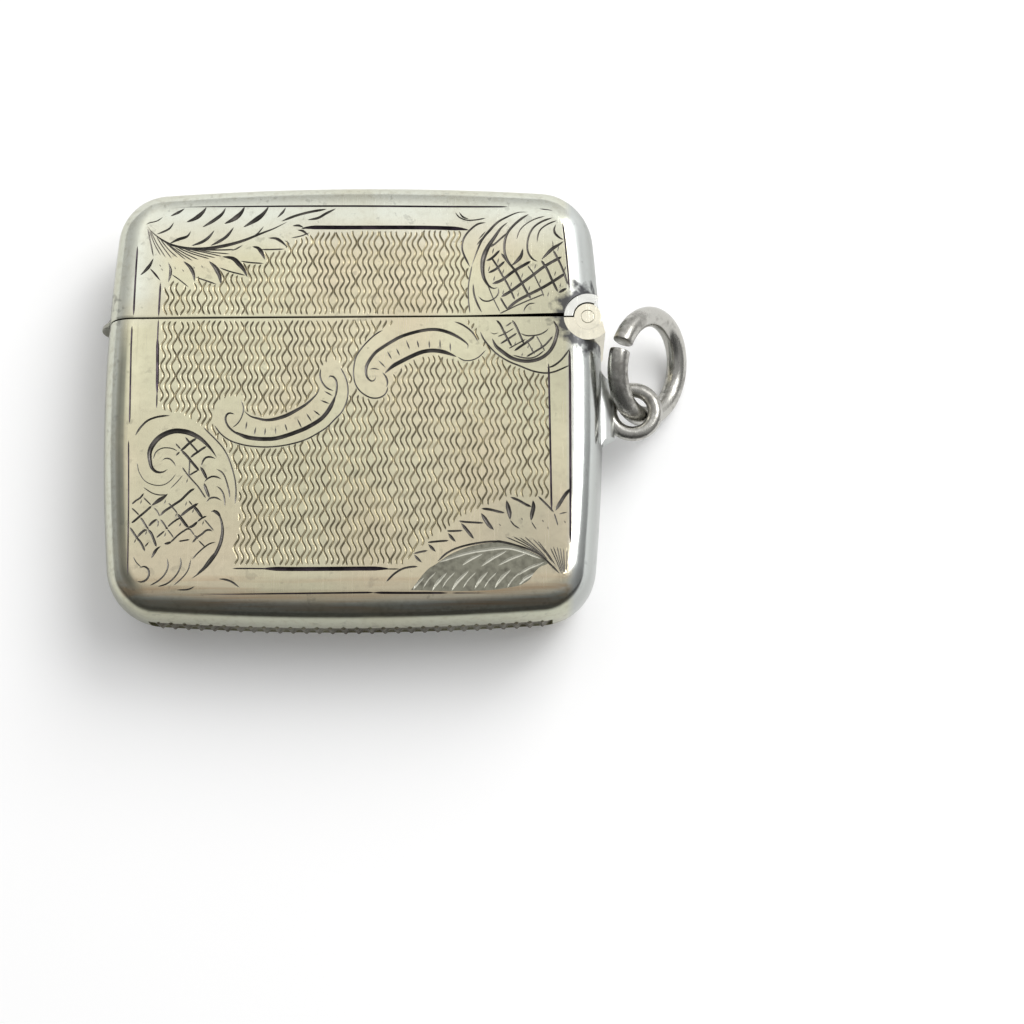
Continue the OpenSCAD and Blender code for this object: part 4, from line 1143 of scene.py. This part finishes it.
def settle(piece, body, node):
    """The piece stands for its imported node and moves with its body."""
    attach(piece, body)
    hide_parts(node)
    print(piece.name, "stands for", node, "on", body, "with", len(piece.data.polygons), "faces")


for part, body in (("lid", "lid"), ("body", "case_body")):
    front = shells[part + "_front_sheet"]
    shape = bmesh.new()
    shape.from_mesh(front.data)
    crisp(shape)
    shape.to_mesh(front.data)
    turned = shape.copy()
    bmesh.ops.scale(turned, verts=turned.verts, vec=(1, 1, -1))
    bmesh.ops.translate(turned, verts=turned.verts, vec=(0, 0, case_t * mm))
    bmesh.ops.reverse_faces(turned, faces=turned.faces)
    back = bpy.data.objects.new(part + "_back_sheet", bpy.data.meshes.new(part + "_back_sheet"))
    turned.to_mesh(back.data)
    for finish in shell_finishes:
        back.data.materials.append(finish)
    scene.collection.objects.link(back)
    for piece, side in ((front, "front"), (back, "back")):
        firm = piece.modifiers.new("even_shading", "WEIGHTED_NORMAL")
        firm.keep_sharp = True
        settle(piece, body, part + "_" + side + "_shell")
    turned.free()
    shape.free()

# %% [markdown]
# ## Soldered and turned pieces
# The hinge blocks, knuckles, boss, lip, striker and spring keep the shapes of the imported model. A copy of each
# is merged into one skin, its flats are joined up again, and a fine bevel breaks every edge, because a filed
# and polished edge is never razor sharp and always draws a line of light.

# %% Edges broken with a bevel
same_spot, same_flat = 2e-7, math.radians(0.5)


def filed(node, name, body, finish, width):
    """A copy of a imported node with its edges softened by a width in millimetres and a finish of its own."""
    shape = bmesh.new()
    shape.from_mesh(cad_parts[node].data)
    bmesh.ops.remove_doubles(shape, verts=shape.verts, dist=same_spot)
    bmesh.ops.dissolve_limit(shape, angle_limit=same_flat, verts=shape.verts, edges=shape.edges)
    crisp(shape, filed_limit)
    piece = bpy.data.objects.new(name, bpy.data.meshes.new(name))
    shape.to_mesh(piece.data)
    shape.free()
    piece.data.materials.append(finish)
    scene.collection.objects.link(piece)
    soft = piece.modifiers.new("broken_edge", "BEVEL")
    soft.width, soft.segments, soft.profile = width * mm, 2, 0.5
    soft.limit_method, soft.angle_limit = "ANGLE", math.radians(filed_limit)
    soft.use_clamp_overlap = True
    soft.harden_normals = True
    settle(piece, body, node)


filed("body_hinge_bearer", "body_hinge_block", "case_body", block_silver, 0.03)
filed("lid_hinge_bearer", "lid_hinge_saddle", "lid", soldered_silver, 0.05)
filed("body_knuckle_front", "front_knuckle", "case_body", block_silver, 0.02)
filed("body_knuckle_rear", "rear_knuckle", "case_body", soldered_silver, 0.05)
filed("lid_knuckle", "middle_knuckle", "lid", soldered_silver, 0.04)
filed("hinge_pin", "pin", "case_body", block_silver, 0.05)
filed("thumb_lip", "thumb_piece", "lid", lip_in_painted_shade, 0.05)
filed("ring_boss", "ring_bar", "case_body", boss_silver, 0.06)
filed("striker_plate", "striker", "case_body", striker_grime_and_shade, 0.03)
filed("lid_spring", "leaf_spring", "case_body", spring_blue, 0.04)

# %% [markdown]
# ## Loop and ring
# Both are bent from round silver wire. A circle spun right round its axis makes the loop. The ring is spun
# almost round, its two ends are closed and rounded, and then it is turned to where it has fallen in the loop. A
# curve with a round bevel would do as well, but with Spin the ends come out as clean rings of edges to round.

# %% Wire bent round a centre
loop_x, loop_y, loop_r, loop_wire = 24.7, -0.4, 2.0, 1.3
ring_r, ring_wire, ring_split, ring_split_at, ring_end_r = 4.45, 1.8, 10, 182, 0.12
ring_swung, ring_tipped, ring_rolled = (math.radians(a) for a in (-18.5, -3.5, 54))
wire_steps, loop_steps, ring_steps = 32, 96, 120


def wire_section(radius, wire):
    """A circle of wire standing upright at a distance from the middle."""
    shape = bmesh.new()
    bmesh.ops.create_circle(shape, segments=wire_steps, radius=wire / 2)
    bmesh.ops.rotate(shape, verts=shape.verts, matrix=Matrix.Rotation(math.pi / 2, 3, "X"))
    bmesh.ops.translate(shape, verts=shape.verts, vec=(radius, 0, 0))
    return shape


loop = wire_section(loop_r, loop_wire)
bmesh.ops.spin(loop, geom=loop.verts[:] + loop.edges[:], cent=(0, 0, 0), axis=(0, 0, 1), angle=2 * math.pi,
               steps=loop_steps, use_merge=True)
bmesh.ops.recalc_face_normals(loop, faces=loop.faces)
bmesh.ops.translate(loop, verts=loop.verts, vec=(loop_x, loop_y, half_t))
crisp(loop)
settle(piece_from(loop, "wire_loop", [ring_silver]), "case_body", "ring_loop")

ring = wire_section(ring_r, ring_wire)
turn = math.radians(360 - ring_split)
spun(ring, ring.verts[:] + ring.edges[:], (0, 0, 0), (0, 0, 1), turn, ring_steps)
open_ends = [e for e in ring.edges if e.is_boundary]
bmesh.ops.holes_fill(ring, edges=open_ends)
bmesh.ops.recalc_face_normals(ring, faces=ring.faces)
bmesh.ops.bevel(ring, geom=open_ends, offset=ring_end_r, offset_type="OFFSET", segments=3, profile=0.5,
                affect="EDGES", material=-1)
lie = (Matrix.Translation((loop_x, loop_y, half_t)) @ Matrix.Rotation(ring_swung, 4, "Z")
       @ Matrix.Rotation(ring_tipped, 4, "X") @ Matrix.Translation((0, ring_r, 0))
       @ Matrix.Rotation(ring_rolled, 4, "Y")
       @ Matrix.Rotation(math.radians(ring_split_at + ring_split / 2), 4, "Z"))
bmesh.ops.transform(ring, matrix=lie, verts=ring.verts)
crisp(ring)
settle(piece_from(ring, "open_ring", [ring_silver]), "ring", "jump_ring")
